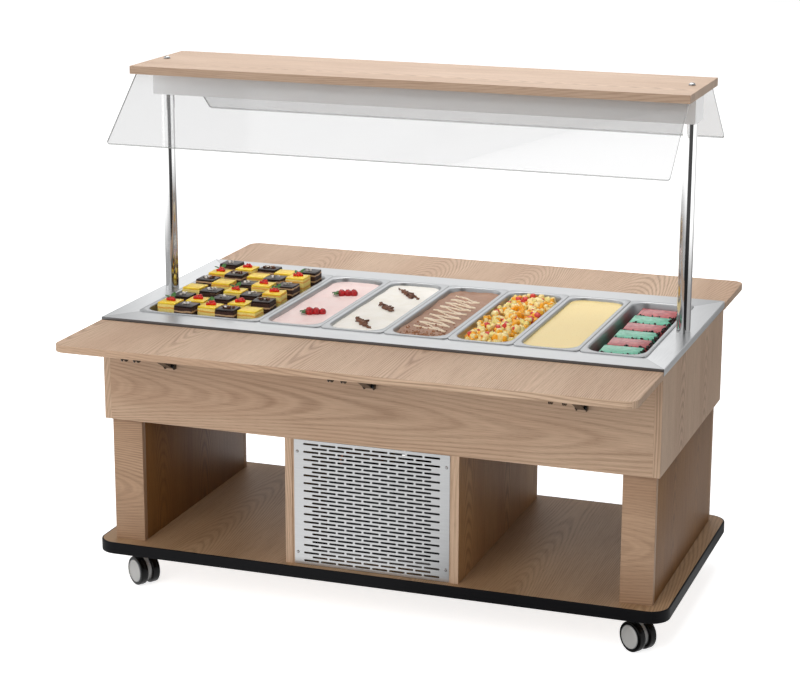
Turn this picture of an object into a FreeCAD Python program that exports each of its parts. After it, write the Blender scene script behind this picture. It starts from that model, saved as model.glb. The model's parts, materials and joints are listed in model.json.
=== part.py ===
import FreeCAD, Part

# Mobile refrigerated salad bar: a cold well for gastronorm pans on an oak-finish
# cabinet, with a lit canopy on two posts, a fold-down tray slide on each long side
# and four twin-wheel casters under a bumpered base board.
#
# Millimetres.  +X runs to the right along the bar, +Y to the far long side, +Z up.
# The origin lies on the floor under the middle of the bar.

import math
import os

import Sketcher

Vector = FreeCAD.Vector
Rotation = FreeCAD.Rotation
UP = Vector(0, 0, 1)
X_AXIS = Vector(1, 0, 0)
Y_AXIS = Vector(0, 1, 0)

# ---------------------------------------------------------------- driving dimensions

DIMENSIONS = {
    # worktop, cabinet and base
    "top_length": 1420, "top_depth": 690, "steel_wall": 1.5, "lip_drop": 18,
    "carcass_height": 262, "bay_height": 322, "base_thick": 30, "caster_height": 94,
    "board": 18,
    "base_over_end": 24, "base_over_front": 15, "base_corner": 45, "bumper_wall": 4,
    "leg_width": 80, "leg_inset_end": 13, "leg_inset_front": 20,
    "unit_width": 447, "batten": 25,
    # grille plates of the machine compartment
    "plate_width": 400, "plate_height": 320, "plate_wall": 1.5, "plate_recess": 1,
    "slot_length": 40, "slot_height": 5, "slot_pitch": 44.5, "slot_row_step": 10,
    "slots_in_row": 8, "slot_rows": 16, "screw_side": 191.5, "screw_rise": 129.5,
    "louvre_length": 150, "louvre_height": 6, "louvre_step": 16, "louvre_rows": 11,
    "louvre_top": 56, "screw_radius": 2.1, "screw_play": 0.15,
    # controls on the rear plate
    "control_rise": 118, "controller_width": 71, "controller_height": 29,
    "controller_depth": 55, "bezel_edge": 3.5, "bezel_thick": 4,
    "switch_side": 75, "switch_width": 13, "switch_height": 22, "switch_depth": 22,
    "switch_edge": 1.5, "cutout_play": 0.4, "rocker_axle": 1,
    # tray slides and their folding brackets
    "flap_depth": 260, "flap_step": 6.5, "flap_gap": 1.5, "flap_corner": 30,
    "bracket_spacing": 522, "bracket_wall": 2, "hinge_drop": 12, "hinge_out": 15,
    "arm_width": 34, "arm_height": 20, "arm_reach": 227, "arm_heel": 8,
    "wall_plate_width": 26, "wall_plate_depth": 21, "wall_plate_foot": 9, "wall_plate_head": 7,
    "strut_drop": 69.5, "strut_length": 145, "strut_width": 20, "strut_thick": 10,
    "pin_radius": 3, "pin_head_radius": 4.5, "pin_head": 1.2, "pin_play": 0.3,
    "running_fit": 0.05,
    # cold well
    "pan_module": 162.5, "pan_long": 530, "pan_gap": 0.5, "pan_rise": 2.5,
    "pan_wall": 1, "pan_rim": 11, "pan_depth": 65, "pan_draft": 6,
    "pan_corner": 26, "pan_rim_corner": 14,
    "opening_margin": 10, "bar_width": 18, "bar_height": 8,
    "tub_depth": 190, "tub_wall": 1.2, "tub_clear": 3, "tub_flange": 12,
    "tub_corner": 20, "foam": 25, "foam_drop": 18, "drain_side": 150,
    "drain_radius": 16, "drain_reach": 90, "drain_play": 2, "bar_play": 0.3,
    # canopy
    "post_radius": 17, "post_wall": 2, "post_inset": 32, "rod_radius": 5, "rod_play": 0.5,
    "dome_radius": 8.5, "dome_height": 7.5, "nut_radius": 9.2, "nut_height": 8,
    "lamp_clearance": 513, "lamp_height": 65, "lamp_depth": 88, "lamp_overrun": 20,
    "lamp_wall": 1.2, "lamp_window": 64, "lamp_window_margin": 75,
    "canopy_overhang": 30, "canopy_depth": 310, "canopy_thick": 20,
    "glass_inset": 8, "glass_thick": 5, "glass_root": 132, "glass_run": 175.5,
    "glass_drop": 151, "glass_corner": 8, "groove": 8, "diffuser_play": 0.5,
    # casters
    "caster_inset_end": 63, "caster_inset_front": 55, "caster_plate": 62,
    "caster_plate_thick": 3, "caster_bolt_pitch": 46, "wheel_radius": 37.5,
    "wheel_width": 20, "tread": 7.5, "web_thick": 12, "web_radius": 29,
    "wheel_gap": 1, "trail": 14, "axle_radius": 4, "stem_radius": 6,
    "swivel_radius": 20, "swivel_height": 12, "swivel_gap": 0.3,
    "pedal_length": 40, "pedal_width": 44, "pedal_thick": 4, "pedal_pin": 2,
    "pedal_out": 7, "pedal_lift": 1.3, "eye_width": 14, "ear_thick": 5, "ear_side": 10,
    "ear_height": 9, "pedal_pin_length": 24, "bolt_head_radius": 6.5, "bolt_head": 5,
    "cap_rise": 1.5, "cap_wall": 2, "axle_short": 3,
    # refrigeration unit
    "tray_length": 370, "tray_depth": 560, "tray_wall": 2, "tray_lip": 18,
    "compressor_radius": 78, "compressor_height": 178, "coil_width": 290,
    "coil_depth": 44, "coil_height": 232, "coil_frame": 10, "coil_inset": 14, "fin_fields": 15,
    "shroud_depth": 34, "shroud_play": 5, "motor_depth": 10, "shaft_length": 27,
    "compressor_back": 78.4, "mount_thick": 12, "port_radius": 7, "port_height": 12,
    "fan_radius": 98, "fan_hub": 26, "fan_blades": 5, "fan_pitch": 28, "fan_gap": 11,
    "fan_depth": 22, "hub_depth": 15, "blade_thick": 2, "blade_chord": 46, "blade_root": 6,
    "pipe_radius": 5, "pipe_arch": 40, "pipe_sink": 6, "pipe_top": 20,
    # screws
    "head_radius": 4, "head_height": 1.6, "screw_length": 15,
}

# how far each caster is parked round its stem, in degrees
PARKED = {"front_left": -125.0, "front_right": -125.0, "rear_left": -62.0, "rear_right": 28.0}


class Size:
    """A length that is known as a number and as an expression on the sheet."""

    def __init__(self, text, value):
        self.text = text
        self.value = float(value)

    @staticmethod
    def of(other):
        if isinstance(other, Size):
            return other
        return Size(repr(float(other)), other)

    def combine(self, other, sign, value):
        return Size(f"({self.text} {sign} {Size.of(other).text})", value)

    def __add__(self, other):
        return self.combine(other, "+", self.value + Size.of(other).value)

    def __sub__(self, other):
        return self.combine(other, "-", self.value - Size.of(other).value)

    def __mul__(self, other):
        return self.combine(other, "*", self.value * Size.of(other).value)

    def __truediv__(self, other):
        return self.combine(other, "/", self.value / Size.of(other).value)

    def __radd__(self, other):
        return Size.of(other) + self

    def __rsub__(self, other):
        return Size.of(other) - self

    def __rmul__(self, other):
        return Size.of(other) * self

    def __neg__(self):
        return Size(f"(0 - {self.text})", 0 - self.value)


doc = FreeCAD.newDocument("salad_bar")
sheet = doc.addObject("Spreadsheet::Sheet", "dims")
for row, (alias, number) in enumerate(DIMENSIONS.items(), start=1):
    sheet.set(f"A{row}", alias)
    sheet.set(f"B{row}", str(number))
    sheet.setAlias(f"B{row}", alias)
doc.recompute()


def dim(alias):
    """The driving dimension of that alias."""
    return Size(f"dims.{alias}", float(sheet.get(alias)))


def number(alias):
    """The driving dimension of that alias, as a plain number."""
    return float(sheet.get(alias))


# ---------------------------------------------------------------- levels and lines

half_length = dim("top_length") / 2
half_depth = dim("top_depth") / 2
base_low = dim("caster_height")
base_top = base_low + dim("base_thick")
carcass_low = base_top + dim("bay_height")
top = carcass_low + dim("carcass_height")
steel_low = top - dim("steel_wall")
carcass_end = half_length - dim("steel_wall")
carcass_side = half_depth - dim("steel_wall")
apron_face = carcass_side
flap_top = top - dim("flap_step")
flap_low = flap_top - dim("board")
lamp_low = top + dim("lamp_clearance")
canopy_low = lamp_low + dim("lamp_height")
canopy_top = canopy_low + dim("canopy_thick")
post_x = half_length - dim("post_inset")
canopy_length = (post_x + dim("canopy_overhang")) * 2
glass_length = canopy_length - dim("glass_inset") * 2
hinge_y = apron_face + dim("hinge_out")
hinge_z = flap_low - dim("hinge_drop")
strut_z = hinge_z - dim("strut_drop")
field_length = dim("pan_module") * 8
opening_length = field_length - dim("opening_margin") * 2
opening_depth = dim("pan_long") - dim("opening_margin") * 2
tub_length = opening_length + dim("tub_clear") * 2
tub_width = opening_depth + dim("tub_clear") * 2
tub_low = steel_low - dim("tub_depth")
bay_middle = base_top + dim("bay_height") / 2
wheel_offset = dim("web_thick") / 2 + dim("wheel_gap") + dim("wheel_width") / 2

PARTS = {}


def keep(node, feature):
    """Registers a finished sub-part under its node's name."""
    feature.Label = node
    PARTS[node] = feature
    return feature


# ---------------------------------------------------------------- sketch tools

def new_body(label, at=(0, 0, 0), turn=None):
    """A body whose origin stands at three Sizes or numbers."""
    body = doc.addObject("PartDesign::Body", label)
    if turn is not None:
        body.Placement = FreeCAD.Placement(Vector(0, 0, 0), turn)
    place(body, at)
    return body


def place(feature, at):
    """Binds a feature's position to the sheet."""
    for letter, size in zip("xyz", at):
        if isinstance(size, Size):
            feature.setExpression(f"Placement.Base.{letter}", size.text)
        elif size:
            placement = feature.Placement
            base = placement.Base
            setattr(base, letter, size)
            placement.Base = base
            feature.Placement = placement


def new_sketch(body, plane, lift=0):
    """An empty sketch on the body's own XY, XZ or YZ plane, lifted along its normal."""
    sketch = body.newObject("Sketcher::SketchObject", f"{body.Name}_{plane.lower()}_outline")
    role = f"{plane}_Plane"
    datum = [item for item in body.Origin.OriginFeatures if item.Role == role][0]
    sketch.AttachmentSupport = [(datum, "")]
    sketch.MapMode = "FlatFace"
    if isinstance(lift, Size):
        sketch.setExpression("AttachmentOffset.Base.z", lift.text)
    return sketch


def pin(sketch, geometry, point, axis, size):
    """Holds one point of a sketch at a distance from the sketch's origin."""
    size = Size.of(size)
    if abs(size.value) < 1e-9:
        line = -2 if axis == "X" else -1
        sketch.addConstraint(Sketcher.Constraint("PointOnObject", geometry, point, line))
        return
    ends = (-1, 1, geometry, point) if size.value > 0 else (geometry, point, -1, 1)
    held = size if size.value > 0 else -size
    index = sketch.addConstraint(Sketcher.Constraint(f"Distance{axis}", *ends, held.value))
    sketch.setExpression(f"Constraints[{index}]", held.text)


def polygon(sketch, points):
    """A closed outline of straight edges through points given as pairs of Sizes."""
    spots = [Vector(Size.of(a).value, Size.of(b).value, 0) for a, b in points]
    count = len(spots)
    lines = [
        sketch.addGeometry(Part.LineSegment(spots[i], spots[(i + 1) % count]), False)
        for i in range(count)
    ]
    for i in range(count):
        sketch.addConstraint(
            Sketcher.Constraint("Coincident", lines[i], 2, lines[(i + 1) % count], 1)
        )
    for line, (a, b) in zip(lines, points):
        pin(sketch, line, 1, "X", a)
        pin(sketch, line, 1, "Y", b)
    return lines


def rectangle(sketch, low_a, low_b, high_a, high_b):
    """A rectangle between two corners."""
    polygon(sketch, [(low_a, low_b), (high_a, low_b), (high_a, high_b), (low_a, high_b)])


def centred(sketch, width, depth):
    """A rectangle about the sketch's origin."""
    rectangle(sketch, -(width / 2), -(depth / 2), width / 2, depth / 2)


def circle(sketch, a, b, radius):
    """A circle at two Sizes from the sketch's origin."""
    shape = Part.Circle(Vector(Size.of(a).value, Size.of(b).value, 0), UP, radius.value)
    index = sketch.addGeometry(shape, False)
    pin(sketch, index, 3, "X", a)
    pin(sketch, index, 3, "Y", b)
    held = sketch.addConstraint(Sketcher.Constraint("Radius", index, radius.value))
    sketch.setExpression(f"Constraints[{held}]", radius.text)


def rounded(sketch, width, depth, radius):
    """A rectangle about the origin with four equal rounded corners."""
    w, d, r = width.value / 2, depth.value / 2, radius.value
    turns = [(w - r, r - d, -90), (w - r, d - r, 0), (r - w, d - r, 90), (r - w, r - d, 180)]
    ends = [(r - w, -d, w - r, -d), (w, r - d, w, d - r), (w - r, d, r - w, d), (-w, d - r, -w, r - d)]
    lines, arcs = [], []
    for (x0, y0, x1, y1), (cx, cy, start) in zip(ends, turns):
        lines.append(sketch.addGeometry(Part.LineSegment(Vector(x0, y0, 0), Vector(x1, y1, 0)), False))
        sweep = Part.ArcOfCircle(
            Part.Circle(Vector(cx, cy, 0), UP, r), math.radians(start), math.radians(start + 90)
        )
        arcs.append(sketch.addGeometry(sweep, False))
    for i in range(4):
        sketch.addConstraint(Sketcher.Constraint("Tangent", lines[i], 2, arcs[i], 1))
        sketch.addConstraint(Sketcher.Constraint("Tangent", arcs[i], 2, lines[(i + 1) % 4], 1))
        direction = "Horizontal" if i % 2 == 0 else "Vertical"
        sketch.addConstraint(Sketcher.Constraint(direction, lines[i]))
    for arc in arcs[1:]:
        sketch.addConstraint(Sketcher.Constraint("Equal", arcs[0], arc))
    held = sketch.addConstraint(Sketcher.Constraint("Radius", arcs[0], r))
    sketch.setExpression(f"Constraints[{held}]", radius.text)
    sketch.addConstraint(Sketcher.Constraint("Symmetric", arcs[0], 3, arcs[2], 3, -1, 1))
    for axis, first, second, size in (("X", arcs[3], arcs[0], width), ("Y", arcs[0], arcs[1], depth)):
        span = size - radius * 2
        held = sketch.addConstraint(Sketcher.Constraint(f"Distance{axis}", first, 3, second, 3, span.value))
        sketch.setExpression(f"Constraints[{held}]", span.text)


def pad(body, sketch, length, both=False, downwards=False):
    """Extrudes a sketch; both ways about its plane, or against its normal, on request."""
    feature = body.newObject("PartDesign::Pad", f"{sketch.Name}_pad")
    feature.Profile = sketch
    feature.setExpression("Length", Size.of(length).text)
    feature.SideType = "Symmetric" if both else "One side"
    feature.Reversed = downwards
    body.Tip = feature
    return feature


def pocket(body, sketch, length=None, upwards=False):
    """Cuts a sketch into the body, all the way through when no length is given."""
    before = solid_volume(body)
    feature = body.newObject("PartDesign::Pocket", f"{sketch.Name}_pocket")
    feature.Profile = sketch
    if length is None:
        feature.Type = "ThroughAll"
    else:
        feature.setExpression("Length", Size.of(length).text)
    feature.Reversed = upwards
    body.Tip = feature
    if solid_volume(body) > before - 0.001:
        raise RuntimeError(f"{feature.Name} cuts nothing")
    return feature


def revolve(body, sketch, axis="V_Axis"):
    """Turns a sketch a full circle about one of its own axes."""
    feature = body.newObject("PartDesign::Revolution", f"{sketch.Name}_turned")
    feature.Profile = sketch
    feature.ReferenceAxis = (sketch, [axis])
    feature.Angle = 360
    body.Tip = feature
    return feature


def fillet(body, radius, wanted):
    """Rounds the edges of the body's last feature whose middle passes the test."""
    doc.recompute()
    last = body.Tip
    names = []
    for index, edge in enumerate(last.Shape.Edges, start=1):
        middle = edge.valueAt((edge.FirstParameter + edge.LastParameter) / 2)
        along = edge.tangentAt(edge.FirstParameter)
        if wanted(middle, along):
            names.append(f"Edge{index}")
    if not names:
        raise RuntimeError(f"no edge to round on {body.Label}")
    feature = body.newObject("PartDesign::Fillet", f"{last.Name}_rounded")
    feature.Base = (last, names)
    feature.setExpression("Radius", radius.text)
    body.Tip = feature
    return feature


def solid_volume(body):
    """The body's volume after a recompute."""
    doc.recompute()
    return body.Shape.Volume


def box(node, sizes, low):
    """A plain board or block between its low corner and that corner plus its sizes."""
    block = doc.addObject("Part::Box", node)
    for name, size in zip(("Length", "Width", "Height"), sizes):
        block.setExpression(name, Size.of(size).text)
    place(block, low)
    return block


def join(node, features):
    """A sub-part that is a set of separate, identical or matched solids."""
    group = doc.addObject("Part::Compound", node)
    group.Links = features
    return group


def shaped(node, shape):
    """A sub-part whose shape is worked out here from the sheet's numbers."""
    feature = doc.addObject("Part::Feature", node)
    feature.Shape = shape
    return feature


# ---------------------------------------------------------------- base and cabinet

def make_base():
    """The base board with its rounded corners, and the rubber bumper round its edge."""
    length = (half_length + dim("base_over_end")) * 2
    depth = (half_depth + dim("base_over_front")) * 2
    board = new_body("base_board", (0, 0, base_low))
    outline = new_sketch(board, "XY")
    rounded(outline, length, depth, dim("base_corner"))
    pad(board, outline, dim("base_thick"))
    bolts = new_sketch(board, "XY")
    for corner_x, corner_y in caster_corners():
        for bolt_x, bolt_y in bolt_corners():
            circle(bolts, corner_x + bolt_x, corner_y + bolt_y, dim("axle_radius"))
    pocket(board, bolts, dim("base_thick") * 0.7, upwards=True)
    keep("base_board", board)

    bumper = new_body("base_bumper", (0, 0, base_low))
    rim = new_sketch(bumper, "XY")
    wall = dim("bumper_wall")
    rounded(rim, length + wall * 2, depth + wall * 2, dim("base_corner") + wall)
    rounded(rim, length, depth, dim("base_corner"))
    pad(bumper, rim, dim("base_thick"))
    edge_x, edge_y = length / 2 + wall, depth / 2 + wall

    def outer_edge(middle, along):
        straight = abs(abs(middle.x) - edge_x.value) < 0.01 or abs(abs(middle.y) - edge_y.value) < 0.01
        return straight and abs(along.z) < 0.01

    fillet(bumper, wall / 2, outer_edge)
    keep("base_bumper", bumper)


def caster_corners():
    """The four stems' places on the plan."""
    stem_x = half_length - dim("caster_inset_end")
    stem_y = half_depth - dim("caster_inset_front")
    return [(-stem_x, -stem_y), (stem_x, -stem_y), (-stem_x, stem_y), (stem_x, stem_y)]


def bolt_corners():
    """The four bolts of one caster plate, from its stem."""
    reach = dim("caster_bolt_pitch") / 2
    return [(-reach, -reach), (reach, -reach), (reach, reach), (-reach, reach)]


def make_legs():
    """Two end pedestals: full-width boards at front and rear, with two side boards between."""
    depth = half_depth * 2 - dim("leg_inset_front") * 2
    side_depth = depth - dim("board") * 2
    outer = half_length - dim("leg_inset_end")
    inner = outer - dim("leg_width")
    for node, direction in (("left_leg", -1), ("right_leg", 1)):
        boards = []
        for name, edge in (("outer_side", outer - dim("board")), ("inner_side", inner)):
            start = edge if direction > 0 else -(edge + dim("board"))
            boards.append(box(f"{node}_{name}", (dim("board"), side_depth, dim("bay_height")),
                              (start, -(side_depth / 2), base_top)))
        start = inner if direction > 0 else -outer
        for name, y in (("front_face", -(depth / 2)), ("rear_face", side_depth / 2)):
            boards.append(box(f"{node}_{name}", (dim("leg_width"), dim("board"), dim("bay_height")),
                              (start, y, base_top)))
        keep(node, join(node, boards))


def make_carcass():
    """The upper box: two end panels, two long aprons and the floor board under the well."""
    height = dim("carcass_height") - dim("steel_wall")
    inside = carcass_end - dim("board")
    for node, x in (("left_end_panel", -carcass_end), ("right_end_panel", inside)):
        keep(node, box(node, (dim("board"), carcass_side * 2, height), (x, -carcass_side, carcass_low)))
    for node, y in (("front_apron", -apron_face), ("rear_apron", apron_face - dim("board"))):
        apron = new_body(node, (0, y, carcass_low))
        outline = new_sketch(apron, "XY")
        rectangle(outline, -inside, 0, inside, dim("board"))
        pad(apron, outline, height)
        screws = new_sketch(apron, "XZ")
        for x, z in bracket_screws():
            circle(screws, x, z - carcass_low, dim("pin_radius") / 2)
        pocket(apron, screws)
        keep(node, apron)
    floor = new_body("carcass_floor", (0, 0, carcass_low))
    outline = new_sketch(floor, "XY")
    clear_y = apron_face - dim("board")
    rectangle(outline, -inside, -clear_y, inside, clear_y)
    pad(floor, outline, dim("board"))
    holes = new_sketch(floor, "XY")
    circle(holes, dim("drain_side"), 0, dim("drain_radius") + dim("drain_play"))
    for x in pipe_risers():
        circle(holes, x, 0, dim("pipe_radius") + 1)
    pocket(floor, holes, None, upwards=True)
    keep("carcass_floor", floor)


def pipe_risers():
    """Where the two refrigerant pipes rise into the well's foam, along X."""
    return (-(dim("drain_side") * 0.6), -(dim("drain_side") * 0.35))


def make_compartment():
    """The machine compartment's two side boards, with battens that take the grilles."""
    boards = []
    plate_back = apron_face - dim("plate_recess") - dim("plate_wall")
    for name, direction in (("left", -1), ("right", 1)):
        outer = dim("unit_width") / 2
        face = outer - dim("board")
        body = new_body(f"compartment_{name}_board", (0, 0, base_top))
        outline = new_sketch(body, "XY")
        points = [
            (outer, -apron_face), (face, -apron_face), (face, -plate_back),
            (face - dim("batten"), -plate_back), (face - dim("batten"), -(plate_back - dim("batten"))),
            (face, -(plate_back - dim("batten"))), (face, plate_back - dim("batten")),
            (face - dim("batten"), plate_back - dim("batten")), (face - dim("batten"), plate_back),
            (face, plate_back), (face, apron_face), (outer, apron_face),
        ]
        polygon(outline, [(x if direction > 0 else -x, y) for x, y in points])
        pad(body, outline, dim("bay_height"))
        holes = new_sketch(body, "XZ")
        side = dim("screw_side") if direction > 0 else -dim("screw_side")
        for rise in (-dim("screw_rise"), dim("screw_rise")):
            circle(holes, side, dim("bay_height") / 2 + rise, dim("screw_radius"))
        hole = pocket(body, holes, plate_back * 2 + 1)
        hole.SideType = "Symmetric"
        boards.append(body)
    keep("compartment_boards", join("compartment_boards", boards))


def grille_blank(node, y):
    """A plain grille plate with its four screw holes."""
    body = new_body(node, (0, y, bay_middle))
    outline = new_sketch(body, "XZ")
    centred(outline, dim("plate_width"), dim("plate_height"))
    pad(body, outline, dim("plate_wall"), both=True)
    holes = new_sketch(body, "XZ")
    for x in (-dim("screw_side"), dim("screw_side")):
        for z in (-dim("screw_rise"), dim("screw_rise")):
            circle(holes, x, z, dim("screw_radius") + dim("screw_play"))
    through_plate(body, holes)
    return body


def through_plate(body, sketch):
    """Cuts a mid-plane sketch through both faces of a plate."""
    cut = pocket(body, sketch, dim("plate_wall") * 2)
    cut.SideType = "Symmetric"
    return cut


def slot_grid(body, left, upper, across, down):
    """One slot, repeated across and down the plate."""
    slot = new_sketch(body, "XZ")
    rectangle(slot, left, upper - dim("slot_height"), left + dim("slot_length"), upper)
    first = through_plate(body, slot)
    grid = body.newObject("PartDesign::MultiTransform", f"{slot.Name}_grid")
    grid.Originals = [first]
    row = body.newObject("PartDesign::LinearPattern", f"{slot.Name}_row")
    row.Direction = (slot, ["H_Axis"])
    row.setExpression("Length", (dim("slot_pitch") * (across - 1)).text)
    row.Occurrences = across
    column = body.newObject("PartDesign::LinearPattern", f"{slot.Name}_column")
    column.Direction = (slot, ["V_Axis"])
    column.Reversed = True
    column.setExpression("Length", (dim("slot_row_step") * 2 * (down - 1)).text)
    column.Occurrences = down
    grid.Transformations = [row, column]
    body.Tip = grid


def make_grilles():
    """The front grille's staggered slots, and the rear plate's louvres and cut-outs."""
    middle = apron_face - dim("plate_recess") - dim("plate_wall") / 2
    front = grille_blank("front_grille", -middle)
    across = int(number("slots_in_row"))
    down = int(number("slot_rows"))
    left = -((dim("slot_pitch") * (across - 1) + dim("slot_length")) / 2)
    upper = dim("slot_row_step") * (down - 1) + dim("slot_height") / 2
    slot_grid(front, left, upper, across, down)
    slot_grid(front, left + dim("slot_pitch") / 2, upper - dim("slot_row_step"), across - 1, down - 1)
    keep("front_grille", front)

    rear = grille_blank("rear_grille", middle)
    louvre = new_sketch(rear, "XZ")
    gap = dim("slot_pitch") / 4
    lowest = dim("louvre_top") - dim("louvre_step") * (int(number("louvre_rows")) - 1)
    for start in (-(dim("louvre_length") + gap), gap):
        rectangle(louvre, start, lowest, start + dim("louvre_length"), lowest + dim("louvre_height"))
    first = through_plate(rear, louvre)
    rows = rear.newObject("PartDesign::LinearPattern", "louvre_rows")
    rows.Originals = [first]
    rows.Direction = (louvre, ["V_Axis"])
    rows.setExpression("Length", (dim("louvre_step") * (int(number("louvre_rows")) - 1)).text)
    rows.Occurrences = int(number("louvre_rows"))
    rear.Tip = rows
    cutouts = new_sketch(rear, "XZ")
    rise = dim("control_rise")
    for x, width, height in control_cutouts():
        rectangle(cutouts, x - width / 2, rise - height / 2, x + width / 2, rise + height / 2)
    through_plate(rear, cutouts)
    keep("rear_grille", rear)


def control_cutouts():
    """The rear plate's cut-outs for the controller and both switches: middle, width and height."""
    side, width, height = dim("switch_side"), dim("switch_width"), dim("switch_height")
    controller = (Size.of(0), dim("controller_width"), dim("controller_height"))
    return [controller, (-side, width, height), (side, width, height)]


# ---------------------------------------------------------------- well and worktop

def make_worktop():
    """The folded steel top: lips down all round, the well's opening and the post holes."""
    steel = new_body("steel_top", (0, 0, top - dim("lip_drop")))
    outline = new_sketch(steel, "XY")
    centred(outline, half_length * 2, half_depth * 2)
    pad(steel, outline, dim("lip_drop"))
    inside = new_sketch(steel, "XY")
    centred(inside, carcass_end * 2, carcass_side * 2)
    pocket(steel, inside, dim("lip_drop") - dim("steel_wall"), upwards=True)
    opening = new_sketch(steel, "XY")
    centred(opening, opening_length, opening_depth)
    for x in (-post_x, post_x):
        circle(opening, x, 0, dim("rod_radius") + dim("rod_play"))
    pocket(steel, opening, None, upwards=True)
    keep("steel_top", steel)


def make_tub():
    """The well's tub under the opening, with a flange at its rim and a drain stub below."""
    tub = new_body("well_tub", (0, 0, tub_low))
    outer = new_sketch(tub, "XY")
    wall = dim("tub_wall")
    rounded(outer, tub_length + wall * 2, tub_width + wall * 2, dim("tub_corner") + wall)
    pad(tub, outer, dim("tub_depth"))
    flange = new_sketch(tub, "XY", dim("tub_depth") - wall)
    reach = wall * 2 + dim("tub_flange") * 2
    rounded(flange, tub_length + reach, tub_width + reach, dim("tub_corner") + wall)
    pad(tub, flange, wall)
    stub = new_sketch(tub, "XY")
    circle(stub, dim("drain_side"), 0, dim("drain_radius"))
    pad(tub, stub, dim("drain_reach"), downwards=True)
    hollow = new_sketch(tub, "XY", dim("tub_depth"))
    rounded(hollow, tub_length, tub_width, dim("tub_corner"))
    pocket(tub, hollow, dim("tub_depth") - wall)
    bore = new_sketch(tub, "XY", dim("tub_depth"))
    circle(bore, dim("drain_side"), 0, dim("drain_radius") - wall * 2)
    pocket(tub, bore)
    keep("well_tub", tub)


def make_foam():
    """Five foam panels round the tub: a base with ways for drain and pipes, two sides, two ends."""
    floor_top = carcass_low + dim("board")
    wall, thick = dim("tub_wall"), dim("foam")
    end = tub_length / 2 + wall
    side = tub_width / 2 + wall
    base = new_body("foam_base", (0, 0, floor_top))
    outline = new_sketch(base, "XY")
    centred(outline, (end + thick) * 2, (side + thick) * 2)
    pad(base, outline, tub_low - floor_top)
    bore = new_sketch(base, "XY")
    circle(bore, dim("drain_side"), 0, dim("drain_radius"))
    for x in pipe_risers():
        circle(bore, x, 0, dim("pipe_radius"))
    pocket(base, bore, tub_low - floor_top, upwards=True)
    height = steel_low - dim("foam_drop") - tub_low
    panels = [base]
    for name, y in (("front", -(side + thick)), ("rear", side)):
        sizes = ((end + thick) * 2, thick, height)
        panels.append(box(f"foam_{name}_side", sizes, (-(end + thick), y, tub_low)))
    for name, x in (("left", -(end + thick)), ("right", end)):
        panels.append(box(f"foam_{name}_end", (thick, side * 2, height), (x, -side, tub_low)))
    keep("well_foam", join("well_foam", panels))


def pan_spans():
    """Each pan's node, first module and number of modules, from the left."""
    spans = [("pan_1_full_size", 0, 2)]
    spans += [(f"pan_{i}_half_long", i, 1) for i in range(2, 8)]
    return spans


def make_bars():
    """The six bars that carry the pans' long rims: a wide web below, a strip level with the top."""
    bars = []
    for index, (_, first, _) in enumerate(pan_spans()[1:], start=1):
        x = dim("pan_module") * first - field_length / 2
        body = new_body(f"pan_bar_{index}", (x - dim("bar_width") / 2, 0, steel_low))
        profile = new_sketch(body, "YZ")
        web = tub_width / 2 - dim("bar_play")
        strip = opening_depth / 2 - dim("bar_play")
        polygon(profile, [
            (-web, -dim("bar_height")), (web, -dim("bar_height")), (web, 0), (strip, 0),
            (strip, dim("steel_wall")), (-strip, dim("steel_wall")), (-strip, 0), (-web, 0),
        ])
        pad(body, profile, dim("bar_width"))
        bars.append(body)
    keep("pan_bars", join("pan_bars", bars))


def make_pans():
    """Seven gastronorm pans with turned-down rims, sloping walls and rounded corners."""
    for node, first, modules in pan_spans():
        x = dim("pan_module") * (first + modules / 2) - field_length / 2
        width = dim("pan_module") * modules - dim("pan_gap")
        length = dim("pan_long") - dim("pan_gap")
        wall = dim("pan_wall")
        mouth_w = width - dim("pan_rim") * 2
        mouth_l = length - dim("pan_rim") * 2
        pan = new_body(node, (x, 0, top))
        rim = new_sketch(pan, "XY")
        rounded(rim, width, length, dim("pan_rim_corner"))
        pad(pan, rim, dim("pan_rise"))
        under = new_sketch(pan, "XY")
        rounded(under, width - wall * 2, length - wall * 2, dim("pan_rim_corner") - wall)
        pocket(pan, under, dim("pan_rise") - wall, upwards=True)
        drop = dim("pan_rise") - dim("pan_depth")
        upper = new_sketch(pan, "XY", dim("pan_rise") - wall / 2)
        rounded(upper, mouth_w, mouth_l, dim("pan_corner"))
        lower = new_sketch(pan, "XY", drop)
        rounded(lower, mouth_w - dim("pan_draft") * 2, mouth_l - dim("pan_draft") * 2, dim("pan_corner"))
        bowl = pan.newObject("PartDesign::AdditiveLoft", f"{node}_bowl")
        bowl.Profile = upper
        bowl.Sections = [lower]
        bowl.Ruled = True
        pan.Tip = bowl
        mouth = new_sketch(pan, "XY", dim("pan_rise"))
        rounded(mouth, mouth_w - wall * 2, mouth_l - wall * 2, dim("pan_corner") - wall)
        bottom = new_sketch(pan, "XY", drop + wall)
        inset = (dim("pan_draft") + wall) * 2
        rounded(bottom, mouth_w - inset, mouth_l - inset, dim("pan_corner") - wall)
        hollow = pan.newObject("PartDesign::SubtractiveLoft", f"{node}_hollow")
        hollow.Profile = mouth
        hollow.Sections = [bottom]
        hollow.Ruled = True
        pan.Tip = hollow
        keep(node, pan)


# ---------------------------------------------------------------- canopy

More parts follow.
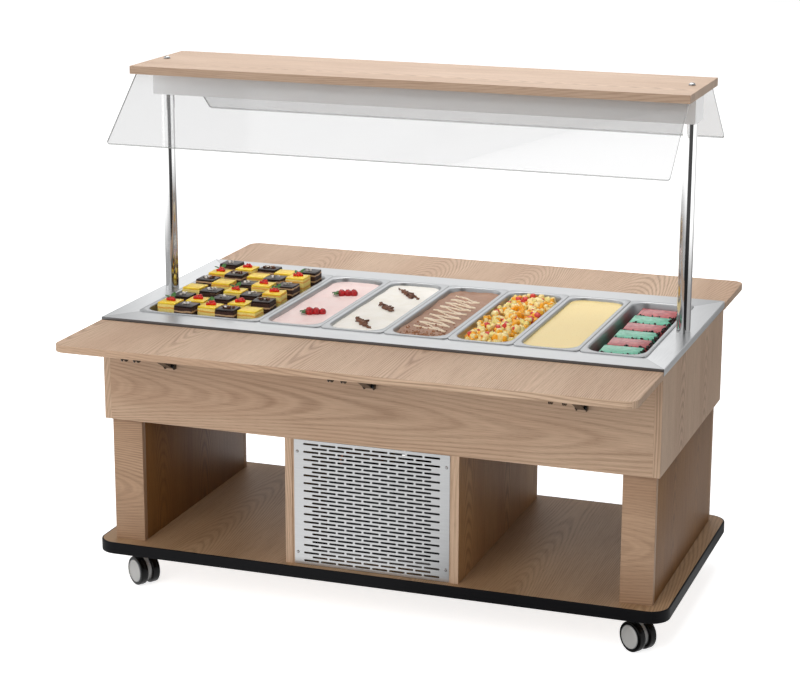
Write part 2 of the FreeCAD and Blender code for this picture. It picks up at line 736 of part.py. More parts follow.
def make_canopy():
    """Posts, light box, lamp diffuser, canopy board with its glass grooves, and the glass."""
    posts = []
    for name, x in (("left", -post_x), ("right", post_x)):
        post = new_body(f"{name}_post", (x, 0, top))
        ring = new_sketch(post, "XY")
        circle(ring, 0, 0, dim("post_radius"))
        circle(ring, 0, 0, dim("post_radius") - dim("post_wall"))
        pad(post, ring, dim("lamp_clearance"))
        posts.append(post)
    keep("canopy_posts", join("canopy_posts", posts))

    lamp_length = (post_x + dim("lamp_overrun")) * 2
    lamp = new_body("light_box", (0, 0, lamp_low))
    outer = new_sketch(lamp, "XY")
    centred(outer, lamp_length, dim("lamp_depth"))
    pad(lamp, outer, dim("lamp_height"))
    hollow = new_sketch(lamp, "XY", dim("lamp_height"))
    centred(hollow, lamp_length - dim("lamp_wall") * 2, dim("lamp_depth") - dim("lamp_wall") * 2)
    pocket(lamp, hollow, dim("lamp_height") - dim("lamp_wall"))
    window = new_sketch(lamp, "XY")
    window_length = lamp_length - dim("lamp_window_margin") * 2
    centred(window, window_length, dim("lamp_window"))
    for x in (-post_x, post_x):
        circle(window, x, 0, dim("rod_radius") + dim("rod_play"))
    pocket(lamp, window, None, upwards=True)
    keep("light_box", lamp)

    tube = new_body("lamp_diffuser", (0, 0, lamp_low))
    profile = new_sketch(tube, "YZ")
    step = dim("lamp_window") / 2 - dim("diffuser_play")
    ledge = step + dim("lamp_wall") * 4
    polygon(profile, [
        (-step, 0), (step, 0), (step, dim("lamp_wall")), (ledge, dim("lamp_wall")),
        (ledge, dim("lamp_wall") * 3), (-ledge, dim("lamp_wall") * 3),
        (-ledge, dim("lamp_wall")), (-step, dim("lamp_wall")),
    ])
    pad(tube, profile, window_length - 1, both=True)
    keep("lamp_diffuser", tube)

    board = new_body("canopy_board", (0, 0, canopy_low))
    outline = new_sketch(board, "XY")
    centred(outline, canopy_length, dim("canopy_depth"))
    pad(board, outline, dim("canopy_thick"))
    grooves = new_sketch(board, "YZ")
    slope = dim("glass_run") / dim("glass_drop")
    half = dim("glass_thick") / 2
    spread = half * glass_secant()
    for side in (-1, 1):
        root = dim("glass_root")
        rise = dim("groove")
        points = [
            (root - spread, 0), (root + spread, 0),
            (root + spread - slope * rise, rise), (root - spread - slope * rise, rise),
        ]
        polygon(grooves, [(y if side > 0 else -y, z) for y, z in points])
    cut = pocket(board, grooves, glass_length + 1)
    cut.SideType = "Symmetric"
    holes = new_sketch(board, "XY")
    for x in (-post_x, post_x):
        circle(holes, x, 0, dim("rod_radius") + dim("rod_play"))
    pocket(board, holes, None, upwards=True)
    keep("canopy_board", board)
    make_glass()


def glass_tilt():
    """The panes' tilt from the vertical, in degrees."""
    return math.degrees(math.atan2(number("glass_run"), number("glass_drop")))


def glass_secant():
    """How much wider than square a cut at the panes' tilt is, across Y."""
    return 1 / math.cos(math.radians(glass_tilt()))


def make_glass():
    """The two guard panes: each hangs from its groove and leans out towards the guest."""
    corner_rise = number("glass_thick") / 2 * math.sin(math.radians(glass_tilt()))
    seat = (number("groove") - corner_rise) * glass_secant()
    fall = math.hypot(number("glass_run"), number("glass_drop"))
    for node, side in (("front_glass", -1), ("rear_glass", 1)):
        turn = Rotation(X_AXIS, side * glass_tilt())
        pane = new_body(node, (0, side * dim("glass_root"), canopy_low), turn)
        outline = new_sketch(pane, "XZ")
        half = glass_length / 2
        rectangle(outline, -half, Size.of(-fall), half, Size.of(seat))
        pad(pane, outline, dim("glass_thick"), both=True)
        fillet(pane, dim("glass_corner"),
               lambda middle, along: abs(along.y) > 0.99 and middle.z < -fall / 2)
        keep(node, pane)


# ---------------------------------------------------------------- tray slides

def bracket_stations():
    """The brackets' places along X."""
    return (-dim("bracket_spacing"), Size.of(0), dim("bracket_spacing"))


def bracket_screws():
    """The wall plates' screws: a high and a low one at each station, as X and Z."""
    return [(x, z) for x in bracket_stations()
            for z in (hinge_z - dim("hinge_drop") * 1.6, strut_z + dim("hinge_drop") * 1.6)]


def cross_pin(body, y, z, radius, length):
    """A pin fixed across a body, along X."""
    ring = new_sketch(body, "YZ")
    circle(ring, y, z, radius)
    pad(body, ring, length, both=True)


def cross_hole(body, y, z, radius, length):
    """A hole across a body, along X."""
    ring = new_sketch(body, "YZ")
    circle(ring, y, z, radius)
    cut = pocket(body, ring, length)
    cut.SideType = "Symmetric"


def make_wall_plates():
    """Six U-shaped wall plates screwed to the aprons, with the holes for both pins."""
    plates = []
    depth = dim("wall_plate_depth")
    foot = dim("wall_plate_foot")
    wall = dim("bracket_wall")
    long_top = hinge_z + dim("wall_plate_head") - strut_z
    for name, side in (("front", -1), ("rear", 1)):
        master = new_body(f"{name}_wall_plate_master")
        profile = new_sketch(master, "YZ")
        chamfer = depth / 3
        points = [
            (0, -foot), (depth - chamfer, -foot), (depth, chamfer - foot),
            (depth, long_top), (0, long_top),
        ]
        polygon(profile, [(y * side, z) for y, z in points])
        pad(master, profile, dim("wall_plate_width"), both=True)
        inside = new_sketch(master, "YZ")
        corners = ((wall * side, -foot - 1), (depth * side + side, long_top + 1))
        if side < 0:
            corners = ((depth * side + side, -foot - 1), (wall * side, long_top + 1))
        rectangle(inside, *corners[0], *corners[1])
        cut = pocket(master, inside, dim("wall_plate_width") - wall * 2)
        cut.SideType = "Symmetric"
        bore = dim("pin_radius") + dim("running_fit")
        for z in (Size.of(0), dim("strut_drop")):
            cross_hole(master, dim("hinge_out") * side, z, bore, dim("wall_plate_width") + 2)
        screws = new_sketch(master, "XZ")
        for z in (dim("hinge_drop") * 1.6, dim("strut_drop") - dim("hinge_drop") * 1.6):
            circle(screws, 0, z, dim("pin_radius") / 2)
        pocket(master, screws, wall * 3, upwards=side < 0)
        for index, x in enumerate(bracket_stations(), start=1):
            copy = join(f"{name}_wall_plate_{index}", [master])
            place(copy, (x, apron_face * side, strut_z))
            plates.append(copy)
    keep("bracket_wall_plates", join("bracket_wall_plates", plates))


def arm_outline(heel, reach, up, down):
    """The side of an arm: straight along the hinge end, a rounded lobe and a small nose at the tip."""
    lobe = [(48, 1), (44, 0), (40, 0.65), (34, 1), (27, 1), (21, 0.65), (17, 0)]
    lobe += [(12, 0), (7, 0.25), (3, -0.1)]
    under = [(reach - back, -(down * share)) for back, share in lobe]
    return [(-heel, up), (-heel, -down), *under, (reach, up / 2), (reach, up)]


def make_arms_and_struts():
    """Under each tray slide: three channel arms with their hinge pins, and three struts."""
    wall = dim("bracket_wall")
    heel, reach = dim("arm_heel"), dim("arm_reach")
    up = dim("hinge_drop")
    down = dim("arm_height") - up
    angle = math.asin(number("strut_drop") / number("strut_length"))
    for name, side in (("front", -1), ("rear", 1)):
        arm = new_body(f"{name}_arm_master")
        profile = new_sketch(arm, "YZ")
        polygon(profile, [(y * side, z) for y, z in arm_outline(heel, reach, up, down)])
        pad(arm, profile, dim("arm_width"), both=True)
        inside = new_sketch(arm, "YZ")
        ends = sorted([(-heel - 1) * side, (reach + 1) * side], key=lambda size: size.value)
        rectangle(inside, ends[0], -down - 1, ends[1], up - wall)
        cut = pocket(arm, inside, dim("arm_width") - wall * 2)
        cut.SideType = "Symmetric"
        cross_pin(arm, Size.of(0), Size.of(0), dim("pin_radius"), dim("arm_width"))

        strut = new_body(f"{name}_strut_master")
        half = dim("strut_thick") / 2
        bar = new_sketch(strut, "XY")
        rounded(bar, dim("strut_length") + half * 2, dim("strut_thick"), half * 0.9)
        pad(strut, bar, dim("strut_width"), both=True)
        for end, length in ((-1, dim("wall_plate_width") + dim("pin_play") * 2),
                            (1, dim("arm_width") - wall * 2 - dim("pin_play") * 2)):
            ring = new_sketch(strut, "XY")
            circle(ring, dim("strut_length") / 2 * end, 0, dim("pin_radius"))
            pad(strut, ring, length, both=True)
        for lift in (-1, 1):
            head = new_sketch(strut, "XY", (dim("wall_plate_width") / 2 + dim("pin_play")) * lift)
            circle(head, -(dim("strut_length") / 2), 0, dim("pin_head_radius"))
            pad(strut, head, dim("pin_head"), downwards=lift < 0)
        # the bar is drawn along its own X and stands on edge: its width runs along the hinge
        lean = math.degrees(angle)
        along = Vector(0, side * math.cos(angle), math.sin(angle))
        upright = X_AXIS.cross(along)
        across = Rotation(along, upright, X_AXIS, "XYZ")
        middle_y = dim("strut_length") / 2 * (side * math.cos(math.radians(lean)))
        middle_z = dim("strut_length") / 2 * math.sin(math.radians(lean))

        arms, struts = [], []
        for index, x in enumerate(bracket_stations(), start=1):
            copy = join(f"{name}_arm_{index}", [arm])
            place(copy, (x, hinge_y * side, hinge_z))
            arms.append(copy)
            copy = join(f"{name}_strut_{index}", [strut])
            copy.Placement = FreeCAD.Placement(Vector(0, 0, 0), across)
            place(copy, (x, hinge_y * side + middle_y, strut_z + middle_z))
            struts.append(copy)
        keep(f"{name}_bracket_arms", join(f"{name}_bracket_arms", arms))
        keep(f"{name}_bracket_struts", join(f"{name}_bracket_struts", struts))


def make_flaps():
    """The two fold-down tray slides, rounded at their outer corners."""
    inner = half_depth + dim("flap_gap")
    outer = inner + dim("flap_depth")
    for node, side in (("front_tray_slide", -1), ("rear_tray_slide", 1)):
        flap = new_body(node, (0, 0, flap_low))
        outline = new_sketch(flap, "XY")
        low, high = (inner, outer) if side > 0 else (-outer, -inner)
        rectangle(outline, -half_length, low, half_length, high)
        pad(flap, outline, dim("board"))
        limit = (inner.value + outer.value) / 2
        fillet(flap, dim("flap_corner"),
               lambda middle, along: abs(along.z) > 0.99 and middle.y * side > limit)
        keep(node, flap)


# ---------------------------------------------------------------- casters

def make_caster_plates():
    """Four top plates with their stems and bolt holes, under the base board."""
    plates = []
    thick = dim("caster_plate_thick")
    master = new_body("caster_plate_master", (0, 0, 0))
    outline = new_sketch(master, "XY")
    rounded(outline, dim("caster_plate"), dim("caster_plate"), dim("stem_radius"))
    pad(master, outline, thick)
    stem = new_sketch(master, "XY")
    circle(stem, 0, 0, dim("stem_radius"))
    pad(master, stem, dim("swivel_height"), downwards=True)
    bolts = new_sketch(master, "XY")
    for x, y in bolt_corners():
        circle(bolts, x, y, dim("axle_radius"))
    pocket(master, bolts, None, upwards=True)
    for (x, y), name in zip(caster_corners(), PARKED):
        copy = join(f"{name}_caster_plate", [master])
        place(copy, (x, y, base_low - thick))
        plates.append(copy)
    keep("caster_plates", join("caster_plates", plates))


def turned(x, y, angle):
    """A point on the plan, turned about the stem."""
    c, s = math.cos(math.radians(angle)), math.sin(math.radians(angle))
    return x * c - y * s, x * s + y * c


def make_housing():
    """The swivel head and the rounded web that carries both wheels on one axle."""
    head_top = base_low - dim("caster_plate_thick") - dim("swivel_gap")
    head_low = head_top - dim("swivel_height")
    body = new_body("caster_housing_master")
    axle_z = dim("wheel_radius")
    web = new_sketch(body, "YZ")
    circle(web, dim("trail"), axle_z, dim("web_radius"))
    pad(body, web, dim("web_thick"), both=True)
    neck = new_sketch(body, "YZ")
    radius = dim("swivel_radius")
    polygon(neck, [
        (-radius * 0.8, head_low + 2), (dim("trail") - dim("web_radius"), axle_z),
        (dim("trail") + dim("web_radius"), axle_z), (radius * 0.9, head_low + 2),
    ])
    pad(body, neck, dim("web_thick"), both=True)
    head = new_sketch(body, "XY", head_low)
    circle(head, 0, 0, radius)
    pad(body, head, dim("swivel_height"))
    axle = new_sketch(body, "YZ")
    circle(axle, dim("trail"), axle_z, dim("axle_radius"))
    pad(body, axle, (wheel_offset + dim("wheel_width") / 2 - dim("axle_short")) * 2, both=True)
    bore = new_sketch(body, "XY", head_top + 1)
    circle(bore, 0, 0, dim("stem_radius") + dim("running_fit"))
    pocket(body, bore, dim("swivel_height") + 3)
    return body


def make_braked_housing(plain):
    """The same housing with the two ears that hold a brake pedal's pin."""
    ears = []
    y, z = pedal_pivot()
    for side in (-1, 1):
        ear = box("pedal_ear", (dim("ear_thick"), dim("swivel_radius") * 0.9, dim("ear_height")),
                  (dim("ear_side") * side - dim("ear_thick") / 2, y - dim("swivel_radius") * 0.7,
                   z - dim("pedal_pin") * 2))
        ears.append(ear)
    fused = doc.addObject("Part::MultiFuse", "braked_housing_fused")
    fused.Shapes = [plain] + ears
    hole = doc.addObject("Part::Cylinder", "pedal_bore")
    hole.setExpression("Radius", (dim("pedal_pin") + dim("running_fit")).text)
    hole.Height = 40
    hole.Placement = FreeCAD.Placement(Vector(-20, 0, 0), Rotation(Y_AXIS, 90))
    place(hole, (-20, y, z))
    cut = doc.addObject("Part::Cut", "braked_housing_master")
    cut.Base = fused
    cut.Tool = hole
    return cut


def pedal_pivot():
    """The pedal pin's place in the caster's own frame, as Y and Z."""
    head_low = base_low - dim("caster_plate_thick") - dim("swivel_gap") - dim("swivel_height")
    return dim("swivel_radius") + dim("pedal_out"), head_low + dim("pedal_lift")


def make_pedal():
    """The brake pedal: an eye between the ears and a broad tread over the wheels."""
    y, z = pedal_pivot()
    body = new_body("pedal_master", (0, y, z))
    side = new_sketch(body, "YZ")
    thick = dim("pedal_thick")
    reach = dim("pedal_length")
    drop = reach * 0.3
    polygon(side, [
        (thick * 1.6, thick * 0.6), (thick * 1.6, -(thick * 0.4)), (reach, -(drop + thick)), (reach, -drop),
    ])
    pad(body, side, dim("pedal_width"), both=True)
    neck = new_sketch(body, "YZ")
    polygon(neck, [
        (0, thick * 0.7), (0, -(thick * 0.5)), (thick * 2, -(thick * 0.8)), (thick * 2, thick * 0.4),
    ])
    pad(body, neck, dim("eye_width"), both=True)
    eye = new_sketch(body, "YZ")
    circle(eye, 0, 0, dim("pedal_pin") * 2)
    pad(body, eye, dim("eye_width"), both=True)
    across = new_sketch(body, "YZ")
    circle(across, 0, 0, dim("pedal_pin"))
    pad(body, across, dim("pedal_pin_length"), both=True)
    return body


def make_wheel():
    """One wheel of a pair: a rubber tyre on a dished hub with a domed cap on its outer side."""
    radius, half = dim("wheel_radius"), dim("wheel_width") / 2
    rim = radius - dim("tread")
    tyre = new_body("tyre_master")
    profile = new_sketch(tyre, "XY")
    shoulder = dim("tread") * 0.4
    polygon(profile, [
        (-half, rim), (half, rim), (half, radius - shoulder), (half - shoulder, radius),
        (shoulder - half, radius), (-half, radius - shoulder),
    ])
    revolve(tyre, profile, "H_Axis")
    hub = new_body("hub_master")
    profile = new_sketch(hub, "XY")
    bore = dim("axle_radius") + dim("running_fit")
    polygon(profile, [
        (-half, bore), (half - dim("cap_wall"), bore), (half - dim("cap_wall"), 0),
        (half + dim("cap_rise"), 0), (half + dim("cap_rise") * 0.8, rim * 0.45),
        (half, rim * 0.86), (half - dim("cap_rise") / 2, rim * 0.9), (half, rim), (-half, rim),
    ])
    revolve(hub, profile, "H_Axis")
    return tyre, hub


def make_casters():
    """Housings, wheels and pedals of all four casters, each parked at its own angle."""
    make_caster_plates()
    plain = make_housing()
    braked = make_braked_housing(plain)
    pedal = make_pedal()
    tyre, hub = make_wheel()
    for (x, y), (name, angle) in zip(caster_corners(), PARKED.items()):
        rear = name.startswith("rear")
        housing = join(f"{name}_caster_housing", [braked if rear else plain])
        housing.Placement = FreeCAD.Placement(Vector(0, 0, 0), Rotation(UP, angle))
        place(housing, (x, y, 0))
        keep(f"{name}_caster_housing", housing)
        for wheel_name, side in (("left", -1), ("right", 1)):
            c, s = turned(1, 0, angle)
            shift = wheel_offset * side
            node = f"{name}_{wheel_name}_wheel"
            wheel = join(node, [tyre, hub])
            facing = Rotation(UP, angle + (0 if side > 0 else 180))
            wheel.Placement = FreeCAD.Placement(Vector(0, 0, 0), facing)
            axle_x = x + shift * c - dim("trail") * s
            axle_y = y + shift * s + dim("trail") * c
            place(wheel, (axle_x, axle_y, dim("wheel_radius")))
            keep(node, wheel)
        if rear:
            copy = join(f"{name}_brake_pedal", [pedal])
            copy.Placement = FreeCAD.Placement(Vector(0, 0, 0), Rotation(UP, angle))
            place(copy, (x, y, 0))
            keep(f"{name}_brake_pedal", copy)


# ---------------------------------------------------------------- refrigeration unit

def make_unit():
    """Tray, compressor, condenser with its fan, and the pipes up to the well."""
    tray = new_body("unit_tray", (0, 0, base_top))
    outline = new_sketch(tray, "XY")
    centred(outline, dim("tray_length"), dim("tray_depth"))
    pad(tray, outline, dim("tray_lip"))
    inside = new_sketch(tray, "XY", dim("tray_lip"))
    wall = dim("tray_wall")
    centred(inside, dim("tray_length") - wall * 2, dim("tray_depth") - wall * 2)
    pocket(tray, inside, dim("tray_lip") - wall)
    keep("unit_tray", tray)

    deck = base_top + wall
    radius, height = dim("compressor_radius"), dim("compressor_height")
    shell = new_body("compressor", (0, dim("compressor_back"), deck))
    profile = new_sketch(shell, "XZ")
    mount = dim("mount_thick")
    polygon(profile, [
        (0, mount), (radius * 0.72, mount), (radius, mount * 2.8), (radius, height * 0.78),
        (radius * 0.74, height * 0.95), (0, height),
    ])
    revolve(shell, profile)
    feet = new_sketch(shell, "XY")
    rounded(feet, radius * 2.1, radius * 1.5, mount)
    pad(shell, feet, mount + wall)
    port = new_sketch(shell, "XY", height)
    circle(port, 0, 0, dim("port_radius"))
    pad(shell, port, dim("port_height"), both=True)
    keep("compressor", shell)

    y = -(dim("tray_depth") / 2 - wall - dim("coil_inset"))
    depth, tall, wide = dim("coil_depth"), dim("coil_height"), dim("coil_width")
    coil = new_body("condenser", (0, y, deck))
    block = new_sketch(coil, "XY")
    rectangle(block, -(wide / 2), 0, wide / 2, depth)
    pad(coil, block, tall)
    fins = new_sketch(coil, "XZ")
    fields = int(number("fin_fields"))
    step, frame = wide / fields, dim("coil_frame")
    for index in range(1, fields - 1, 2):
        rectangle(fins, step * index - wide / 2, frame, step * (index + 1) - wide / 2, tall - frame)
    pocket(coil, fins, depth / 3)
    shroud = new_sketch(coil, "XZ", -depth)
    rectangle(shroud, -(wide / 2), Size.of(0), wide / 2, tall)
    pad(coil, shroud, dim("shroud_depth"), downwards=True)
    throat = new_sketch(coil, "XZ", -(depth + dim("shroud_depth")))
    circle(throat, 0, tall / 2, dim("fan_radius") + dim("shroud_play"))
    pocket(coil, throat, dim("shroud_depth"), upwards=True)
    motor = new_sketch(coil, "XZ", -depth)
    circle(motor, 0, tall / 2, dim("fan_hub"))
    pad(coil, motor, dim("motor_depth"), downwards=True)
    shaft = new_sketch(coil, "XZ", -depth)
    circle(shaft, 0, tall / 2, dim("pin_radius"))
    pad(coil, shaft, dim("shaft_length"), downwards=True)
    keep("condenser", coil)
    make_fan(y + depth, deck + tall / 2)
    make_pipes(deck)


def make_fan(y, z):
    """Pitched blades set round a hub that turns on the motor's shaft."""
    hub_radius, tip = number("fan_hub"), number("fan_radius")
    count, gap = int(number("fan_blades")), number("fan_gap")
    root, chord, thick = number("blade_root"), number("blade_chord"), number("blade_thick")
    solid = Part.makeCylinder(hub_radius, number("hub_depth"), Vector(0, gap, 0), Y_AXIS)
    for index in range(count):
        corner = Vector(hub_radius - root, -thick / 2, -chord / 2)
        blade = Part.makeBox(tip - hub_radius + root, thick, chord, corner)
        blade.rotate(Vector(0, 0, 0), X_AXIS, number("fan_pitch"))
        blade.translate(Vector(0, gap + number("hub_depth") / 2, 0))
        blade.rotate(Vector(0, 0, 0), Y_AXIS, 360 / count * index)
        solid = solid.fuse(blade)
    swept = Part.makeCylinder(tip, number("fan_depth"), Vector(0, gap, 0), Y_AXIS)
    solid = solid.common(swept)
    bore_radius = number("pin_radius") + number("running_fit")
    bore = Part.makeCylinder(bore_radius, gap * 6, Vector(0, -gap, 0), Y_AXIS)
    fan = shaped("condenser_fan", solid.cut(bore).removeSplitter())
    place(fan, (0, y, z))
    keep("condenser_fan", fan)


def tube(points, radius):
    """A pipe through straight runs and tangent bends, from a list of points."""
    bend = radius * 3
    edges = []
    start = points[0]
    for before, corner, after in zip(points, points[1:], points[2:]):
        inward = (before - corner).normalize()
        onward = (after - corner).normalize()
        cut = bend / math.tan(inward.getAngle(onward) / 2)
        first, last = corner + inward * cut, corner + onward * cut
        centre_way = (inward + onward).normalize()
        centre = corner + centre_way * (bend / math.sin(inward.getAngle(onward) / 2))
        middle = centre + (corner - centre).normalize() * bend
        edges.append(Part.makeLine(start, first))
        edges.append(Part.Arc(first, middle, last).toShape())
        start = last
    edges.append(Part.makeLine(start, points[-1]))
    path = Part.Wire(edges)
    section = Part.Wire(Part.Circle(points[0], points[1] - points[0], radius).toShape())
    return path.makePipeShell([section], True, False)


def make_pipes(deck):
    """Suction and liquid lines from the unit up through the cabinet floor into the foam."""
    radius = number("pipe_radius")
    compressor_y = number("compressor_back")
    shell_top = deck.value + number("compressor_height")
    arch = number("pipe_arch")
    rise = carcass_low.value + number("board") + number("pipe_top")
    suction_x, liquid_x = (size.value for size in pipe_risers())
    suction = tube([
        Vector(suction_x, 0, rise), Vector(suction_x, 0, shell_top + arch),
        Vector(suction_x, compressor_y, shell_top + arch), Vector(0, compressor_y, shell_top + arch),
        Vector(0, compressor_y, shell_top + number("pipe_sink")),
    ], radius)
    coil_x = number("coil_width") / 2 - number("coil_frame") * 3
    coil_front = number("tray_depth") / 2 - number("tray_wall") - number("coil_inset")
    coil_y = number("coil_depth") / 2 - coil_front
    coil_top = deck.value + number("coil_height")
    liquid = tube([
        Vector(liquid_x, 0, rise), Vector(liquid_x, 0, coil_top + arch * 0.75),
        Vector(liquid_x, coil_y, coil_top + arch * 0.75), Vector(-coil_x, coil_y, coil_top + arch * 0.75),
        Vector(-coil_x, coil_y, coil_top),
    ], radius)
    keep("refrigerant_pipes", shaped("refrigerant_pipes", Part.makeCompound([suction, liquid])))


def control_case(node, middle, face, z, sizes, edge, bezel_thick, depth):
    """A case that sits in a cut-out of the rear plate: its bezel outside, its block inside."""
    width, height = sizes
    case = new_body(node, (middle, face, z))
    bezel = new_sketch(case, "XZ")
    centred(bezel, width + edge * 2, height + edge * 2)
    pad(case, bezel, bezel_thick, downwards=True)
    block = new_sketch(case, "XZ")
    centred(block, width - dim("cutout_play"), height - dim("cutout_play"))
    pad(case, block, depth)
    return case


def make_controls():
    """The temperature controller and two rocker switches on the rear plate."""
    face = apron_face - dim("plate_recess")
    z = bay_middle + dim("control_rise")
    controller, *switches = control_cutouts()
    cases = [control_case("controller_case", controller[0], face, z, controller[1:],
                          dim("bezel_edge"), dim("bezel_thick"), dim("controller_depth"))]
    edge, axle_radius = dim("switch_edge"), dim("rocker_axle")
    for name, (x, wide, tall) in zip(("power", "light"), switches):
        frame = control_case(f"{name}_switch_frame", x, face, z, (wide, tall), edge, edge,
                             dim("switch_depth"))
        well = new_sketch(frame, "XZ", -edge)
        centred(well, wide - edge * 2, tall - edge * 2)
        pocket(frame, well, dim("switch_depth") / 2, upwards=True)
        axle = new_sketch(frame, "YZ")
        circle(axle, -axle_radius, 0, axle_radius + dim("running_fit"))
        cut = pocket(frame, axle, wide - axle_radius)
        cut.SideType = "Symmetric"
        cases.append(frame)

        rocker = new_body(f"{name}_switch", (x, face, z))
        side = new_sketch(rocker, "YZ")
        reach = tall / 2 - edge - 0.9
        polygon(side, [
            (-3.2, 0), (-1.5, -reach), (1.4, -reach), (2.4, 0), (4.2, reach - 0.6), (1.2, reach),
        ])
        pad(rocker, side, wide - edge * 2 - axle_radius, both=True)
        axle = new_sketch(rocker, "YZ")
        circle(axle, -axle_radius, 0, axle_radius)
        pad(rocker, axle, wide - axle_radius * 1.6, both=True)
        keep(f"{name}_switch", rocker)
    keep("controller", join("controller", cases))


# ---------------------------------------------------------------- fasteners

def make_fasteners():
    """Tie bolts with domed heads through the posts, grille screws, caster and bracket screws."""
    pieces = []
    rod, dome, crown = number("rod_radius"), number("dome_radius"), number("dome_height")
    nut_high = number("nut_height")
    nut_low = steel_low.value - nut_high
    tail, lid = nut_low - rod, canopy_top.value
    profile = [
        Vector(0, 0, tail), Vector(rod, 0, tail), Vector(rod, 0, lid), Vector(dome, 0, lid),
        Vector(dome, 0, lid + crown * 0.27), Vector(dome * 0.86, 0, lid + crown * 0.6),
        Vector(dome * 0.56, 0, lid + crown * 0.87), Vector(0, 0, lid + crown), Vector(0, 0, tail),
    ]
    face = Part.Face(Part.makePolygon(profile))
    for x in (-post_x.value, post_x.value):
        bolt = face.revolve(Vector(0, 0, 0), UP, 360)
        bolt.translate(Vector(x, 0, 0))
        pieces.append(bolt)
        nut = Part.Face(Part.makePolygon(hexagon(number("nut_radius")))).extrude(Vector(0, 0, nut_high))
        nut = nut.cut(Part.makeCylinder(rod, nut_high))
        nut.translate(Vector(x, 0, nut_low))
        pieces.append(nut)
    pieces += plate_screws() + caster_bolts() + bracket_fixings()
    keep("fasteners", shaped("fasteners", Part.makeCompound(pieces)))


def hexagon(radius):
    """The closed outline of a hexagon about the origin."""
    corners = [Vector(radius * math.cos(math.radians(60 * i)), radius * math.sin(math.radians(60 * i)), 0)
               for i in range(6)]
    return corners + corners[:1]


def screw(head_radius, head, shank_radius, shank):
    """A screw standing on its head's underside at the origin, its shank down -Z."""
    top_face = Part.makeCone(head_radius, head_radius * 0.6, head)
    return top_face.fuse(Part.makeCylinder(shank_radius, shank, Vector(0, 0, -shank)))


def plate_screws():
    """Four pan-head screws on each grille plate."""
    made = []
    face = apron_face.value - number("plate_recess")
    for side in (-1, 1):
        for x in (-number("screw_side"), number("screw_side")):
            for z in (-number("screw_rise"), number("screw_rise")):
                piece = screw(number("head_radius"), number("head_height"), number("screw_radius"),
                              number("screw_length"))
                piece.rotate(Vector(0, 0, 0), X_AXIS, -90 * side)
                piece.translate(Vector(x, face * side, bay_middle.value + z))
                made.append(piece)
    return made


def caster_bolts():
    """Four hexagon bolts through each caster plate, from below."""
    made = []
    low = base_low.value - number("caster_plate_thick")
    for corner_x, corner_y in caster_corners():
        for bolt_x, bolt_y in bolt_corners():
            outline = Part.Face(Part.makePolygon(hexagon(number("bolt_head_radius"))))
            head = outline.extrude(Vector(0, 0, -number("bolt_head")))
            shank = Part.makeCylinder(number("axle_radius"), number("caster_plate_thick") * 6)
            piece = head.fuse(shank)
            piece.translate(Vector(corner_x.value + bolt_x.value, corner_y.value + bolt_y.value, low))
            made.append(piece)
    return made


def bracket_fixings():
    """Two screws through each wall plate into the apron behind it."""
    made = []
    for side in (-1, 1):
        for x, z in bracket_screws():
            piece = screw(number("head_radius"), number("pin_head"), number("pin_radius") / 2,
                          number("screw_length"))
            piece.rotate(Vector(0, 0, 0), X_AXIS, -90 * side)
            out = apron_face.value + number("bracket_wall")
            piece.translate(Vector(x.value, out * side, z.value))
            made.append(piece)
    return made


# ---------------------------------------------------------------- build, check and write

def check_document():
    """Stops if an object failed, or if a sub-part is empty or not valid."""
    doc.recompute()
    for item in doc.Objects:
        if "Invalid" in item.State or "Error" in item.State:
            raise RuntimeError(f"{item.Label} failed: {item.State}")
    for node, feature in PARTS.items():
        if feature.Shape.isNull() or not feature.Shape.isValid() or not feature.Shape.Solids:
            raise RuntimeError(f"{node} has no sound shape")


def write_parts():
    """Writes each sub-part to its own STEP file."""
    os.makedirs("parts", exist_ok=True)
    for node, feature in PARTS.items():
        feature.Shape.exportStep(f"parts/{node}.step")
        print(f"{node}: {len(feature.Shape.Solids)} solids, {feature.Shape.Volume / 1000:.1f} cm3")
    print(f"{len(PARTS)} nodes")


make_base()
make_legs()
make_carcass()
make_compartment()
make_grilles()
make_worktop()
make_tub()
make_foam()
make_bars()
make_pans()
make_canopy()
make_flaps()
make_wall_plates()
make_arms_and_struts()
make_casters()
make_unit()
make_controls()
make_fasteners()
check_document()
write_parts()
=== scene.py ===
"""Looks of a mobile salad bar: oak-finish cabinet, steel well with food pans, glass-guarded canopy, casters.

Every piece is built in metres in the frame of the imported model, +X to the right, +Y to the far side, +Z up.
"""

from __future__ import annotations

import json
import logging
import math
import random
from collections.abc import Callable, Iterable, Iterator, Sequence
from contextlib import contextmanager
from dataclasses import dataclass
from enum import Enum
from functools import cache

import bmesh
import bpy
from mathutils import Euler, Matrix, Vector, noise

